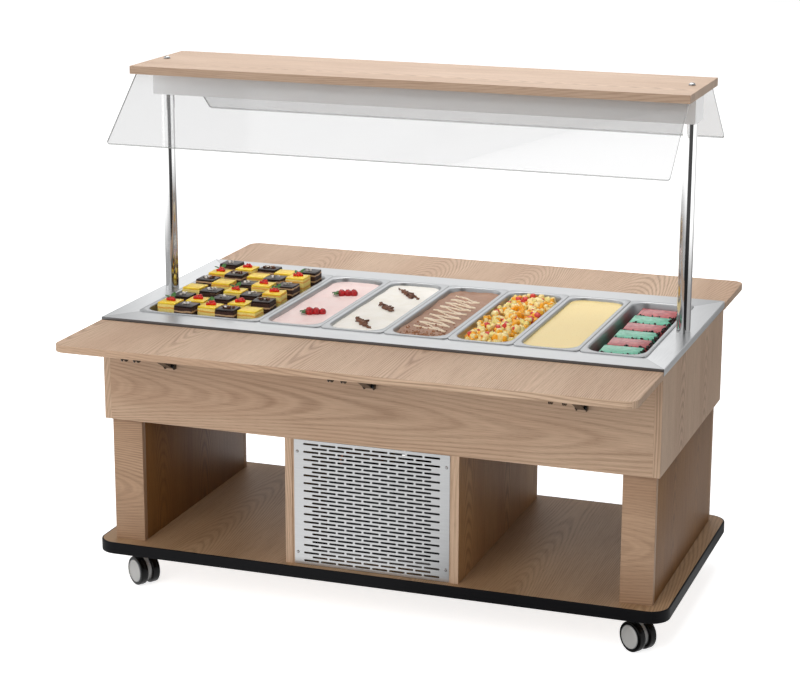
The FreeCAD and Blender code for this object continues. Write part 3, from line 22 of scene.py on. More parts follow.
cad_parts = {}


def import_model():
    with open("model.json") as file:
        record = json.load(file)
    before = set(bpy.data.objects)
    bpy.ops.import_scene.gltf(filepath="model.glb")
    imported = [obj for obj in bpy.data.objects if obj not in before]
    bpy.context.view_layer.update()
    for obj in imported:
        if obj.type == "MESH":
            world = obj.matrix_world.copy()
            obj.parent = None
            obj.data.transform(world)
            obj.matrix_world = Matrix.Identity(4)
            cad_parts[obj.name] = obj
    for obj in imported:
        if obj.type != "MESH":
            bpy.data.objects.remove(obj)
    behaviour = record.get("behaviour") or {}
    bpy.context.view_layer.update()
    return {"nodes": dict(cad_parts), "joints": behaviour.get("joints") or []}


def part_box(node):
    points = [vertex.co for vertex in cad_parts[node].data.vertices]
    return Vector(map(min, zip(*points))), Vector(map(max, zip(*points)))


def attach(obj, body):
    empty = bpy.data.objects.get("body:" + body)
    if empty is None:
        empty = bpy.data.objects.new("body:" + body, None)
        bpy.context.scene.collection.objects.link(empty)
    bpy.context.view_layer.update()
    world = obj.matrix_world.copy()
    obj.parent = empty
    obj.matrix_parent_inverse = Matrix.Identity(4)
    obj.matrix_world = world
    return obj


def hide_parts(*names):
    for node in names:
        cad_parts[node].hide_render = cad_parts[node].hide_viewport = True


log = logging.getLogger("salad_bar")

Colour = tuple[float, float, float]
Mesh = bmesh.types.BMesh
Edge = bmesh.types.BMEdge
Vert = bmesh.types.BMVert
Looks = dict[str, "Wire | float | Colour"]

PURE: Colour = (1.0, 1.0, 1.0)
SHARP = math.radians(32)
FLAT = math.radians(0.5)
WELD = 0.00001
NEAR = 0.0001


def paint(*channels: int) -> Colour:
    """A colour in linear light from its 8-bit display values of red, green and blue."""
    return tuple(share / 12.92 if share <= 0.04045 else ((share + 0.055) / 1.055) ** 2.4
                 for share in (value / 255 for value in channels))


def scaled(colour: Colour, share: float) -> Colour:
    """A colour with each of its parts scaled."""
    return tuple(part * share for part in colour)


# ------------------------------------------------------------------ shader maths


def operator(operation: str, reflected: bool = False) -> Callable[[Wire, Wire | float], Wire]:
    """The method of Wire behind one of Python's operators.

    Args:
        operation: the Math node's operation.
        reflected: whether the other value comes first.

    Returns:
        The method.
    """
    def method(wire: Wire, other: Wire | float) -> Wire:
        """Adds the Math node."""
        return wire.maths(operation, *((other, wire) if reflected else (wire, other)))

    return method


class Wire:
    """The output of a shader node, usable in arithmetic; each operation adds a Math node."""

    __add__, __radd__ = operator("ADD"), operator("ADD", True)
    __sub__, __rsub__ = operator("SUBTRACT"), operator("SUBTRACT", True)
    __mul__, __rmul__ = operator("MULTIPLY"), operator("MULTIPLY", True)
    __truediv__, __rtruediv__ = operator("DIVIDE"), operator("DIVIDE", True)
    __pow__, __rpow__ = operator("POWER"), operator("POWER", True)
    __gt__, __lt__ = operator("GREATER_THAN"), operator("LESS_THAN")

    def __init__(self, graph: Graph, socket: bpy.types.NodeSocket | None) -> None:
        """Wraps a socket of a graph's node."""
        self.graph = graph
        self.socket = socket

    def maths(self, operation: str, *values: Wire | float) -> Wire:
        """The output of a Math node with those inputs."""
        return self.graph.node("ShaderNodeMath", {"operation": operation}, dict(enumerate(values)))

    def __abs__(self) -> Wire:
        """The size without its sign."""
        return self.maths("ABSOLUTE", self)

    def sine(self) -> Wire:
        """The sine of this, in radians."""
        return self.maths("SINE", self)

    def root(self) -> Wire:
        """The square root of this."""
        return self.maths("SQRT", self)

    def fraction(self) -> Wire:
        """What this has past a whole number."""
        return self.maths("FRACT", self)

    def folded(self, width: float) -> Wire:
        """This, folded back and forth between zero and a width."""
        return self.maths("PINGPONG", self, width)

    def held(self) -> Wire:
        """This, kept between zero and one."""
        return self.maths("MINIMUM", self.maths("MAXIMUM", self, 0.0), 1.0)

    def between(self, low: float, high: float) -> Wire:
        """A soft step of this from zero at low to one at high."""
        settings = {"interpolation_type": "SMOOTHSTEP"}
        return self.graph.node("ShaderNodeMapRange", settings, {0: self, 1: low, 2: high, 3: 0.0, 4: 1.0})


class Graph:
    """The node tree of a material or of the world."""

    def __init__(self, owner: bpy.types.Material | bpy.types.World) -> None:
        """Empties the owner's tree."""
        owner.use_nodes = True
        self.owner = owner
        self.tree = owner.node_tree
        self.tree.nodes.clear()

    def node(self, kind: str, settings: dict | None = None, values: dict | None = None,
             output: int | str = 0) -> Wire:
        """Adds any node.

        Args:
            kind: the node's type.
            settings: its properties, set first.
            values: numbers, colours or wires for its inputs, by index or name.
            output: which output is wanted.

        Returns:
            That output, or a wire with no socket where the node has none.
        """
        made = self.tree.nodes.new(kind)
        for key, value in (settings or {}).items():
            setattr(made, key, value)
        for key, value in (values or {}).items():
            socket = made.inputs[key]
            if isinstance(value, Wire):
                self.tree.links.new(value.socket, socket)
            elif isinstance(value, tuple) and socket.type == "RGBA":
                socket.default_value = (*value, 1.0)
            else:
                socket.default_value = value
        return Wire(self, made.outputs[output] if len(made.outputs) else None)

    def place(self) -> Wire:
        """Object coordinates."""
        return self.node("ShaderNodeTexCoord", output="Object")

    def facing(self) -> Wire:
        """The surface's normal in the piece's own frame."""
        return self.node("ShaderNodeTexCoord", output="Normal")

    def split(self, vector: Wire) -> tuple[Wire, Wire, Wire]:
        """A vector's three parts."""
        parts = self.node("ShaderNodeSeparateXYZ", values={0: vector})
        return tuple(Wire(self, socket) for socket in parts.socket.node.outputs)

    def vector(self, x: Wire | float, y: Wire | float, z: Wire | float) -> Wire:
        """A vector from three parts."""
        return self.node("ShaderNodeCombineXYZ", values={0: x, 1: y, 2: z})

    def noise(self, where: Wire, scale: float, detail: float = 2.0, roughness: float = 0.5) -> Wire:
        """Smooth noise, zero to one, with that many waves in a metre and octaves."""
        values = {"Vector": where, "Scale": scale, "Detail": detail, "Roughness": roughness}
        return self.node("ShaderNodeTexNoise", values=values)

    def blend(self, share: Wire | float, first: Wire | Colour, second: Wire | Colour,
              way: str = "MIX") -> Wire:
        """The first colour with a share of the second mixed in."""
        settings = {"data_type": "RGBA", "blend_type": way}
        return self.node("ShaderNodeMix", settings, {0: share, 6: first, 7: second}, output=2)

    def blend_vectors(self, share: Wire, first: Wire, second: Wire) -> Wire:
        """The first vector with a share of the second mixed in."""
        return self.node("ShaderNodeMix", {"data_type": "VECTOR"}, {0: share, 4: first, 5: second}, output=1)

    def bump(self, height: Wire, depth: float, strength: float) -> Wire:
        """A normal bumped by a height field of about zero to one and a depth in metres."""
        return self.node("ShaderNodeBump", values={"Strength": strength, "Distance": depth, "Height": height})

    def glow(self, strength: Wire) -> Wire:
        """White light of that strength."""
        return self.node("ShaderNodeEmission", values={"Color": PURE, "Strength": strength})

    def rays(self) -> list[Wire]:
        """Whether a ray is the camera's own, is mirrored, or has passed through a pane: each one or zero."""
        outputs = self.node("ShaderNodeLightPath").socket.node.outputs
        return [Wire(self, outputs[f"Is {name} Ray"]) for name in ("Camera", "Glossy", "Transmission")]

    def close(self, shader: Wire, kind: str = "ShaderNodeOutputMaterial") -> None:
        """Links a shader to the tree's output."""
        self.node(kind, values={"Surface": shader})


# ------------------------------------------------------------------ finishes


class Along(Enum):
    """The way that a brushed sheet's lines run."""

    X = 0
    Y = 1


@dataclass(frozen=True)
class Finish:
    """What one material looks like."""

    name: str

    def looks(self, graph: Graph) -> Looks:
        """What feeds the principled surface's sockets, drawn in a material's graph."""
        raise NotImplementedError

    @cache
    def material(self) -> bpy.types.Material:
        """The material, made at its first use."""
        graph = Graph(bpy.data.materials.new(self.name))
        graph.close(graph.node("ShaderNodeBsdfPrincipled", values=self.looks(graph)))
        return graph.owner


@dataclass(frozen=True)
class Oak(Finish):
    """Light oak laminate whose grain runs across tops, along fronts and up the sides, with painted shade
    multiplied into faces facing X and Y.
    """

    pale: Colour = paint(217, 188, 161)
    warm: Colour = paint(197, 164, 137)
    line: Colour = paint(136, 104, 78)
    leaf: float = 0.29
    upright: bool = False
    lengthwise: bool = False
    # side and front: painted shade, multiplied into the faces that face X and the faces that face Y
    side: Colour = PURE
    front: Colour = PURE

    def looks(self, graph: Graph) -> Looks:
        """Rings, fibres and pores of a flat-sawn leaf, laid side by side in mirrored leaves, and the side and
        front painted shade.
        """
        x, y, z = graph.split(graph.place())
        nx, ny, nz = graph.split(graph.facing())
        fronts = graph.vector(z, x, y) if self.upright else graph.vector(x, z, y)
        tops = graph.vector(x, y, z) if self.lengthwise else graph.vector(y, x, z)
        grain = graph.blend_vectors(abs(nz) > 0.6, fronts, tops)
        grain = graph.blend_vectors(abs(nx) > 0.6, grain, graph.vector(z, y, x))
        along, across, deep = graph.split(grain)

        def waves(length: float, width: float, depth: float, detail: float, roughness: float = 0.5) -> Wire:
            """Noise with its own number of waves in a metre each way."""
            where = graph.vector(along * length, across * width, deep * depth)
            return graph.noise(where, 1.0, detail, roughness)

        sway = waves(1.6, 5.0, 1.0, 2.0) - 0.5
        drift = across + sway * 0.035
        leaf = (drift + 0.31 + deep * 0.37).folded(self.leaf)
        heart = leaf - self.leaf * 0.45
        swell = waves(0.9, 0.6, 2.1, 1.0)
        depth = along * 0.055 + swell * 0.16
        radius = (heart * heart + depth * depth).root()
        ripple = waves(3.0, 40.0, 1.0, 2.0)
        rings = (radius * 1350.0 + ripple * 3.4).sine() * 0.5 + 0.5
        rings = rings ** 2.0
        slender = (radius * 3600.0 + ripple * 7.0).sine() * 0.5 + 0.5
        fibre = waves(9.0, 520.0, 90.0, 3.0, 0.6)
        pores = waves(42.0, 1500.0, 300.0, 1.0).between(0.60, 0.74)
        cloud = waves(1.3, 7.0, 5.0, 3.0)

        tone = graph.blend(cloud.between(0.25, 0.75), self.pale, self.warm)
        strong = waves(1.1, 9.0, 3.0, 2.0).between(0.35, 0.65)
        streak = (rings * (0.16 + strong * 0.28) + slender * 0.08 + fibre.between(0.38, 0.78) * 0.36).held()
        tone = graph.blend(streak, tone, self.line)
        tone = graph.blend(pores * (0.16 + rings * 0.34), tone, scaled(self.line, 0.5))
        # Painted shade: faces facing X are multiplied by the side colour and faces facing Y by the front
        # colour, darker where less light falls
        tone = graph.blend(abs(nx) > 0.6, tone, self.side, "MULTIPLY")
        tone = graph.blend(abs(ny) > 0.6, tone, self.front, "MULTIPLY")
        sheen = 0.46 + fibre * 0.12 + pores * 0.10
        relief = graph.bump(1.0 - pores * 0.6 - rings * 0.25 + fibre * 0.2, 0.00025, 0.22)
        return {"Base Color": tone, "Roughness": sheen, "Normal": relief, "Specular IOR Level": 0.36}


@dataclass(frozen=True)
class Brushed(Finish):
    """Stainless sheet with fine brushing along one way; a mitred one changes it at the corner joints and
    darkens its long sides with painted shade.
    """

    along: Along
    tone: Colour
    rough: float
    mitred: bool = False
    relief: float = 0.25
    streak: float = 0.30
    half: tuple[float, float] = (0.71, 0.345)
    border: tuple[float, float] = (0.070, 0.090)

    def looks(self, graph: Graph) -> Looks:
        """Long streaks, smudges and, where it is mitred, the two ways of brushing, the painted shade of the
        long sides and the joint.
        """
        parts = graph.split(graph.place())

        def lines(way: Along) -> Wire:
            """Streaks along one way."""
            return graph.noise(graph.vector(*(part * (14.0 if index == way.value else 900.0)
                                              for index, part in enumerate(parts))), 1.0, 3.0, 0.65)

        brushed = lines(self.along)
        if self.mitred:
            to_end, to_side = ((half - abs(part)) / border
                               for part, half, border in zip(parts, self.half, self.border))
            at_end = to_end < to_side
            brushed = brushed * (1.0 - at_end) + lines(Along.Y) * at_end
            joint = 1.0 - abs(to_end - to_side).between(0.006, 0.014)
        smudge = graph.noise(graph.place(), 9.0, 3.0)
        shade = graph.blend(brushed.between(0.3, 0.7) * self.streak, self.tone, scaled(self.tone, 0.72))
        if self.mitred:
            # Painted shade: the long sides, brushed along X, are darker than the ends, as their brushing
            # catches less light
            shade = graph.blend((1.0 - at_end) * 0.9, shade, scaled(self.tone, 0.73))
            shade = graph.blend(joint * 0.55, shade, (0.16, 0.16, 0.165))
        rough = self.rough - 0.06 + brushed * 0.12 + smudge.between(0.45, 0.8) * 0.05
        relief = graph.bump(brushed, 0.00004, self.relief)
        return {"Base Color": shade, "Metallic": 1.0, "Roughness": rough, "Normal": relief}


@dataclass(frozen=True)
class Polished(Finish):
    """Bright metal with faint wipe marks."""

    tone: Colour
    rough: float

    def looks(self, graph: Graph) -> Looks:
        """Wipe marks over a haze."""
        wipe = graph.noise(graph.place(), 34.0, 3.0)
        haze = graph.noise(graph.place(), 5.0, 2.0)
        shade = graph.blend(haze.between(0.3, 0.8) * 0.25, self.tone, scaled(self.tone, 0.84))
        rough = self.rough + wipe.between(0.45, 0.75) * 0.05 + haze * 0.03
        return {"Base Color": shade, "Metallic": 1.0, "Roughness": rough}


@dataclass(frozen=True)
class Moulded(Finish):
    """Plastic, rubber, enamel or foam with a fine surface grain."""

    tone: Colour
    rough: float
    grain: float
    depth: float = 0.00008
    metal: float = 0.0
    shine: float = 0.5

    def looks(self, graph: Graph) -> Looks:
        """A fine grain and faint clouds."""
        speck = graph.noise(graph.place(), self.grain, 2.0)
        cloud = graph.noise(graph.place(), 14.0, 3.0)
        shade = graph.blend(cloud.between(0.3, 0.75) * 0.30, self.tone, scaled(self.tone, 0.74))
        return {"Base Color": shade, "Roughness": self.rough - 0.04 + cloud * 0.06 + speck * 0.05,
                "Normal": graph.bump(speck, self.depth, 0.3), "Metallic": self.metal,
                "Specular IOR Level": self.shine}


@dataclass(frozen=True)
class GuardGlass(Finish):
    """Clear toughened glass: a faint grey veil that thickens at a glance, and grey-green ground edges."""

    tone: Colour
    veil: float
    glance: float

    def looks(self, graph: Graph) -> Looks:
        """The veil, with smears of cleaning."""
        rim = graph.node("ShaderNodeFresnel", values={"IOR": 1.5})
        smear = graph.noise(graph.place(), 6.0, 3.0)
        cover = (self.veil + rim * self.glance + smear.between(0.5, 0.9) * 0.015).held()
        return {"Base Color": self.tone, "Roughness": 0.03 + smear * 0.04, "Alpha": cover}


@dataclass(frozen=True)
class Lamp(Finish):
    """An opal strip that glows, a little brighter over each cluster of diodes."""

    strength: float

    def looks(self, graph: Graph) -> Looks:
        """The glow's slow change along the strip."""
        x, _, _ = graph.split(graph.place())
        pulse = (x * 420.0).sine() * 0.5 + 0.5
        glow = graph.blend(pulse * 0.25, (1.0, 0.99, 0.96), (0.86, 0.88, 0.92))
        return {"Base Color": (0.8, 0.8, 0.8), "Roughness": 0.5 + pulse * 0.05, "Emission Color": glow,
                "Emission Strength": self.strength}


@dataclass(frozen=True)
class Cream(Finish):
    """A whipped or set dessert with fine air marks and flecks of something else."""

    tone: Colour
    deep: Colour
    fleck: Colour
    flecks: float
    rough: float
    bubbles: float = 260.0

    def looks(self, graph: Graph) -> Looks:
        """Clouds, air marks and, where there are any, flecks."""
        where = graph.place()
        cloud = graph.noise(where, 22.0, 4.0, 0.6)
        air = graph.noise(where, self.bubbles, 3.0, 0.6)
        share = cloud.between(0.35, 0.7) * 0.55 + air.between(0.55, 0.75) * 0.25
        shade = graph.blend(share, self.tone, self.deep)
        if self.flecks:
            cells = {"Vector": where, "Scale": 210.0}
            far = graph.node("ShaderNodeTexVoronoi", values=cells, output="Distance").between(0.10, 0.16)
            spots = (1.0 - far) * graph.noise(where, 60.0, 1.0).between(0.52, 0.60)
            shade = graph.blend(spots * self.flecks, shade, self.fleck)
        relief = graph.bump(air * 0.4 + cloud, 0.0012, 0.35)
        return {"Base Color": shade, "Roughness": self.rough + air * 0.10, "Normal": relief,
                "Specular IOR Level": 0.22}


@dataclass(frozen=True)
class Layered(Finish):
    """A cake's cut side: crumbs in layers with filling between, counted up from the pan's floor."""

    crumb: Colour
    dark: Colour
    filling: Colour
    pitch: float = 0.0155

    def looks(self, graph: Graph) -> Looks:
        """Crumbs and holes, the holes darkened with painted shade, with a band of filling in each layer."""
        where = graph.place()
        _, _, z = graph.split(where)
        wave = graph.noise(where, 55.0, 2.0) * 0.006
        level = ((z + wave) / self.pitch).fraction()
        band = level.between(0.62, 0.72) * (1.0 - level.between(0.88, 0.97))
        crumb = graph.noise(where, 420.0, 3.0, 0.7)
        hole = graph.noise(where, 900.0, 1.0).between(0.58, 0.70)
        shade = graph.blend(crumb.between(0.35, 0.7), self.crumb, self.dark)
        shade = graph.blend(band * 0.85, shade, self.filling)
        # Painted shade: the crumb's holes are darker than the crumb
        shade = graph.blend(hole * 0.5 * (1.0 - band), shade, scaled(self.dark, 0.6))
        relief = graph.bump(crumb - hole * 0.5, 0.0008, 0.6)
        return {"Base Color": shade, "Roughness": 0.72 - band * 0.25, "Normal": relief}


@dataclass(frozen=True)
class Glossy(Finish):
    """Glaze, jelly, fruit, chocolate or leaf: a moist, slightly uneven skin."""

    tone: Colour
    deep: Colour
    rough: float
    scale: float = 70.0
    relief: float = 0.0006
    shine: float = 0.5

    def looks(self, graph: Graph) -> Looks:
        """Clouds of the deeper colour under a fine unevenness."""
        where = graph.place()
        cloud = graph.noise(where, self.scale, 3.0, 0.55)
        fine = graph.noise(where, self.scale * 7.0, 2.0)
        shade = graph.blend(cloud.between(0.32, 0.70), self.tone, self.deep)
        bumped = graph.bump(cloud * 0.8 + fine * 0.3, self.relief, 0.4)
        return {"Base Color": shade, "Roughness": self.rough + fine * 0.12, "Normal": bumped,
                "Specular IOR Level": self.shine}


OAK = Oak("light_oak")
UPRIGHT_OAK = Oak("upright_oak", upright=True)
# Painted shade: a darker, warmer copy of the oak for the legs' side boards, which stand in shade; its side
# colour darkens them further
SHADED_OAK = Oak("painted_shade_oak", paint(158, 116, 66), paint(134, 95, 52), paint(92, 62, 32), upright=True,
                 side=(0.90, 0.82, 0.68))
# Painted shade: the canopy board's faces facing Y are darkened by the front colour
CANOPY_OAK = Oak("canopy_oak", paint(222, 195, 172), paint(206, 176, 151), paint(154, 122, 98),
                 lengthwise=True, front=(0.76, 0.74, 0.72))
LEG_OAK = Oak("leg_oak", paint(194, 161, 132), paint(174, 140, 112), paint(128, 98, 74))
# Painted shade: the compartment boards' faces facing X are darkened by the side colour
ROOM_OAK = Oak("room_oak", upright=True, side=(0.92, 0.76, 0.48))
FLOOR_OAK = Oak("base_oak", paint(196, 163, 128), paint(172, 138, 104), paint(124, 94, 66))
PLAIN_BOARD = Oak("plain_board", paint(176, 146, 112), paint(152, 121, 90), paint(110, 84, 60))
# Mitred: its long sides carry painted shade
TOP_STEEL = Brushed("worktop_steel", Along.X, (0.70, 0.71, 0.72), 0.30, mitred=True)
# Painted shade: near-black steel for the worktop's long lips, which lie in the flaps' shadow
LIP_SHADE_STEEL = Brushed("worktop_lip_painted_shade", Along.X, (0.16, 0.16, 0.165), 0.34)
PAN_STEEL = Brushed("pan_steel", Along.Y, (0.46, 0.47, 0.48), 0.34)
TUB_STEEL = Brushed("tub_steel", Along.X, (0.5, 0.5, 0.5), 0.36)
GRILLE_STEEL = Brushed("grille_steel", Along.X, (0.64, 0.645, 0.65), 0.36)
BOX_STEEL = Brushed("light_box_steel", Along.X, (0.98, 0.98, 0.98), 0.58, relief=0.02, streak=0.05)
BRACKET_STEEL = Brushed("bracket_steel", Along.Y, (0.06, 0.062, 0.062), 0.24)
POST_STEEL = Polished("post_steel", (0.62, 0.62, 0.62), 0.05)
SCREW_STEEL = Polished("screw_steel", (0.42, 0.42, 0.42), 0.16)
COPPER = Polished("copper_pipe", (0.75, 0.34, 0.20), 0.24)
# Painted shade: near-black walls for the grille's slots, so the slots look as dark as the shade inside them
SLOT_WALL_SHADE = Moulded("slot_wall_painted_shade", (0.012, 0.012, 0.012), 0.6, 900.0, 0.00004, shine=0.1)
RUBBER = Moulded("bumper_rubber", (0.008, 0.008, 0.009), 0.52, 900.0, 0.00015, shine=0.09)
TYRE = Moulded("tyre_rubber", (0.002, 0.002, 0.002), 0.20, 1100.0, 0.00004, shine=0.18)
HUB_GREY = Moulded("hub_plastic", paint(196, 196, 194), 0.34, 700.0, 0.00004)
HUB_RING = Moulded("hub_ring", paint(124, 126, 128), 0.30, 700.0, 0.00004)
CASTER_GREY = Moulded("caster_plastic", paint(186, 187, 187), 0.30, 700.0, 0.00005)
ZINC = Moulded("zinc_plate", (0.42, 0.43, 0.45), 0.38, 240.0, 0.00003, metal=1.0)
GALVANISED = Moulded("galvanised_sheet", (0.38, 0.39, 0.40), 0.45, 90.0, 0.00003, metal=1.0)
ENAMEL = Moulded("black_enamel", (0.012, 0.012, 0.013), 0.25, 420.0, 0.00005)
# Painted shade: near-black condenser fins, so what shows through the grille's slots stays as dark as the
# shade behind it
CONDENSER_SHADE = Moulded("condenser_painted_shade", (0.016, 0.016, 0.017), 0.55, 500.0, 0.00010)
FAN_BLACK = Moulded("fan_plastic", (0.02, 0.02, 0.021), 0.42, 800.0)
CONTROL_BLACK = Moulded("control_plastic", (0.018, 0.018, 0.020), 0.33, 900.0)
KEY_GREY = Moulded("key_plastic", paint(90, 93, 97), 0.42, 900.0)
FOAM = Moulded("well_foam_skin", paint(222, 208, 158), 0.85, 220.0, 0.0006)
GLASS_FACE = GuardGlass("guard_glass", (0.34, 0.34, 0.345), 0.14, 0.20)
GLASS_EDGE = GuardGlass("guard_glass_edge", (0.34, 0.36, 0.35), 0.66, 0.30)
LAMP_GLOW = Lamp("opal_lamp", 3.6)


# ------------------------------------------------------------------ making pieces


def new_object(name: str, data: bpy.types.ID) -> bpy.types.Object:
    """An object with that data, in the scene.

    Args:
        name: the object's name.
        data: its mesh, lamp or camera.

    Returns:
        The object.
    """
    made = bpy.data.objects.new(name, data)
    bpy.context.scene.collection.objects.link(made)
    return made


def new_mesh(name: str, shape: Mesh) -> bpy.types.Mesh:
    """A mesh made of a shape, which is freed.

    Args:
        name: the mesh's name.
        shape: what it is made of.

    Returns:
        The mesh.
    """
    mesh = bpy.data.meshes.new(name)
    shape.to_mesh(mesh)
    shape.free()
    return mesh


def corners(node: str) -> tuple[Vector, Vector]:
    """The low and the high corner of a CAD node's box."""
    return tuple(Vector(corner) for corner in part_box(node))


def only(items: Iterable[object], kind: type) -> list:
    """The items that are of one kind."""
    return [item for item in items if isinstance(item, kind)]


def sharp_edges(shape: Mesh) -> list[Edge]:
    """The edges whose faces meet at more than the sharp angle."""
    return [edge for edge in shape.edges if edge.is_manifold and edge.calc_face_angle() > SHARP]


def rounded(shape: Mesh, geom: Sequence, radius: float, segments: int, **options: object) -> None:
    """Rounds edges, or corners where the options say so."""
    settings = {"affect": "EDGES", "clamp_overlap": True, "material": -1, "profile": 0.5} | options
    bmesh.ops.bevel(shape, geom=geom, offset=radius, offset_type="OFFSET", segments=segments, **settings)


@contextmanager
def added(shape: Mesh, matrix: Matrix, index: int | None = None) -> Iterator[Mesh]:
    """Lends an empty mesh to build in, then moves it and adds it to a shape.

    Args:
        shape: the shape that it joins.
        matrix: where it goes.
        index: its material's index, if it has only one.

    Yields:
        The empty mesh.
    """
    part = bmesh.new()
    yield part
    if index is not None:
        for face in part.faces:
            face.material_index = index
    bmesh.ops.transform(part, matrix=matrix, verts=part.verts)
    carrier = new_mesh("carrier", part)
    shape.from_mesh(carrier)
    bpy.data.meshes.remove(carrier)


def ring(shape: Mesh, width: float, depth: float, radius: float, height: float,
         centre: Sequence[float] = (0.0, 0.0), steps: int = 6) -> list[Edge]:
    """Adds a level rounded rectangle of edges to a shape that has no faces yet.

    Args:
        shape: where to add it.
        width: its size along X.
        depth: its size along Y.
        radius: its corners' radius.
        height: its Z.
        centre: its middle.
        steps: edges round each corner.

    Returns:
        Its edges.
    """
    made = bmesh.ops.create_grid(shape, x_segments=1, y_segments=1, size=0.5)["verts"]
    bmesh.ops.scale(shape, vec=(width, depth, 1.0), verts=made)
    bmesh.ops.translate(shape, vec=(centre[0], centre[1], height), verts=made)
    rounded(shape, made, radius, steps, affect="VERTICES", clamp_overlap=False)
    edges = list({edge for face in shape.faces for edge in face.edges})
    bmesh.ops.delete(shape, geom=list(shape.faces), context="FACES_ONLY")
    return edges


def block(shape: Mesh, size: Sequence[float], matrix: Matrix, ease: float, index: int = 0,
          segments: int = 2) -> None:
    """Adds a block with eased edges.

    Args:
        shape: where to add it.
        size: its sides.
        matrix: where its middle goes.
        ease: the radius of its edges.
        index: its material's index.
        segments: steps round each edge.
    """
    with added(shape, matrix, index) as part:
        bmesh.ops.create_cube(part, size=1.0)
        bmesh.ops.scale(part, vec=size, verts=part.verts)
        rounded(part, part.edges, ease, segments)


def at(place: Sequence[float], turn: Matrix | None = None) -> Matrix:
    """A matrix that turns, if there is a turn, and then moves."""
    return Matrix.Translation(place) @ (turn.to_4x4() if turn else Matrix.Identity(4))


def lathe(shape: Mesh, outline: Sequence[tuple[float, float]], matrix: Matrix, steps: int,
          index: int = 0) -> None:
    """Adds a turned shape, its axis along its own X.

    Args:
        shape: where to add it.
        outline: points as distance along the axis and radius.
        matrix: where it goes.
        steps: steps round it.
        index: its material's index.
    """
    with added(shape, matrix, index) as part:
        verts = [part.verts.new((along, radius, 0.0)) for along, radius in outline]
        edges = [part.edges.new(pair) for pair in zip(verts, verts[1:])]
        bmesh.ops.spin(part, geom=verts + edges, cent=(0, 0, 0), axis=(1, 0, 0), dvec=(0, 0, 0),
                       angle=math.tau, steps=steps, use_merge=True)
        bmesh.ops.remove_doubles(part, verts=part.verts, dist=WELD / 2)
        bmesh.ops.recalc_face_normals(part, faces=part.faces)


@dataclass
class Workshop:
    """Turns shapes and CAD nodes into finished pieces of the object."""

    nodes: dict[str, bpy.types.Object]

    def finish(self, name: str, shape: Mesh, finishes: Sequence[Finish], body: str, slot: str | None = None,
               replaces: Iterable[str] = (), smooth: float = 35.0) -> bpy.types.Object:
        """Makes a piece of a shape.

        Args:
            name: the piece's name.
            shape: its mesh, which is freed.
            finishes: one for each material index.
            body: the body that it rides on.
            slot: the record's material slot; not used.
            replaces: CAD nodes that it stands for.
            smooth: faces that meet at less than this many degrees look smooth.

        Returns:
            The piece.
        """
        mesh = new_mesh(name, shape)
        for finish in finishes:
            mesh.materials.append(finish.material())
        mesh.shade_smooth()
        mesh.set_sharp_from_angle(angle=math.radians(smooth))
        piece = new_object(name, mesh)
        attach(piece, body)
        for node in replaces:
            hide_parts(node)
        log.info("%s: %d faces", name, len(mesh.polygons))
        return piece

    def dress(self, finish: Finish, *nodes: str) -> None:
        """Gives CAD nodes, which stay, their finish.

        Args:
            finish: the finish for all of them.
            nodes: their names.
        """
        for node in nodes:
            materials = self.nodes[node].data.materials
            materials.clear()
            materials.append(finish.material())
            log.info("%s dressed", node)

    def solid(self, node: str) -> Mesh:
        """A copy of a node's mesh with its flat faces whole again.

        Args:
            node: the node's name.

        Returns:
            The merged copy.
        """
        shape = bmesh.new()
        shape.from_mesh(self.nodes[node].data)
        bmesh.ops.remove_doubles(shape, verts=shape.verts, dist=WELD)
        bmesh.ops.dissolve_limit(shape, angle_limit=FLAT, verts=shape.verts, edges=shape.edges)
        return shape

    def eased(self, name: str, node: str, finish: Finish, body: str, slot: str, radius: float,
              wanted: Callable[[Edge], bool] = lambda edge: True, segments: int = 2) -> bpy.types.Object:
        """A piece that is a node with its sharp edges rounded.

        Args:
            name: the piece's name.
            node: the node that it replaces.
            finish: its finish.
            body: the body that it rides on.
            slot: its material slot.
            radius: the rounding, in metres.
            wanted: which of the sharp edges are rounded.
            segments: steps round each edge.

        Returns:
            The piece.
        """
        shape = self.solid(node)
        rounded(shape, list(filter(wanted, sharp_edges(shape))), radius, segments)
        return self.finish(name, shape, [finish], body, slot, [node], 20.0)


# ------------------------------------------------------------------ cabinet and base


@dataclass
class Cabinet:
    """The oak boards, the base board and its rubber bumper."""

    shop: Workshop
    edge: float = 0.0007
    board: float = 0.018

    def build(self) -> None:
        """Builds the boards and the bumper."""
        boards = {"base_board": FLOOR_OAK, "left_end_panel": UPRIGHT_OAK, "right_end_panel": UPRIGHT_OAK,
                  "front_apron": OAK, "rear_apron": OAK, "compartment_boards": ROOM_OAK,
                  "canopy_board": CANOPY_OAK}
        for node, finish in boards.items():
            self.shop.eased(f"oak_{node}", node, finish, "bar", "oak", self.edge)
        self.leg("left_leg")
        self.leg("right_leg")
        self.shop.dress(PLAIN_BOARD, "carcass_floor")
        self.shop.dress(RUBBER, "base_bumper")

    def leg(self, node: str) -> None:
        """Builds a pedestal: full-width boards at front and rear, and two side boards between.

        Args:
            node: the node that it replaces.
        """
        low, high = corners(node)
        middle, size = (low + high) / 2, high - low
        shape = bmesh.new()
        for side in (-1, 1):
            across = Vector((0, side * (size.y - self.board) / 2, 0))
            block(shape, (size.x, self.board, size.z), at(middle + across), self.edge)
            aside = Vector((side * (size.x - self.board) / 2, 0, 0))
            block(shape, (self.board, size.y - self.board * 2, size.z), at(middle + aside), self.edge, 1)
        # The side boards take SHADED_OAK, painted shade
        self.shop.finish(f"oak_{node}", shape, [LEG_OAK, SHADED_OAK], "bar", "oak", [node])


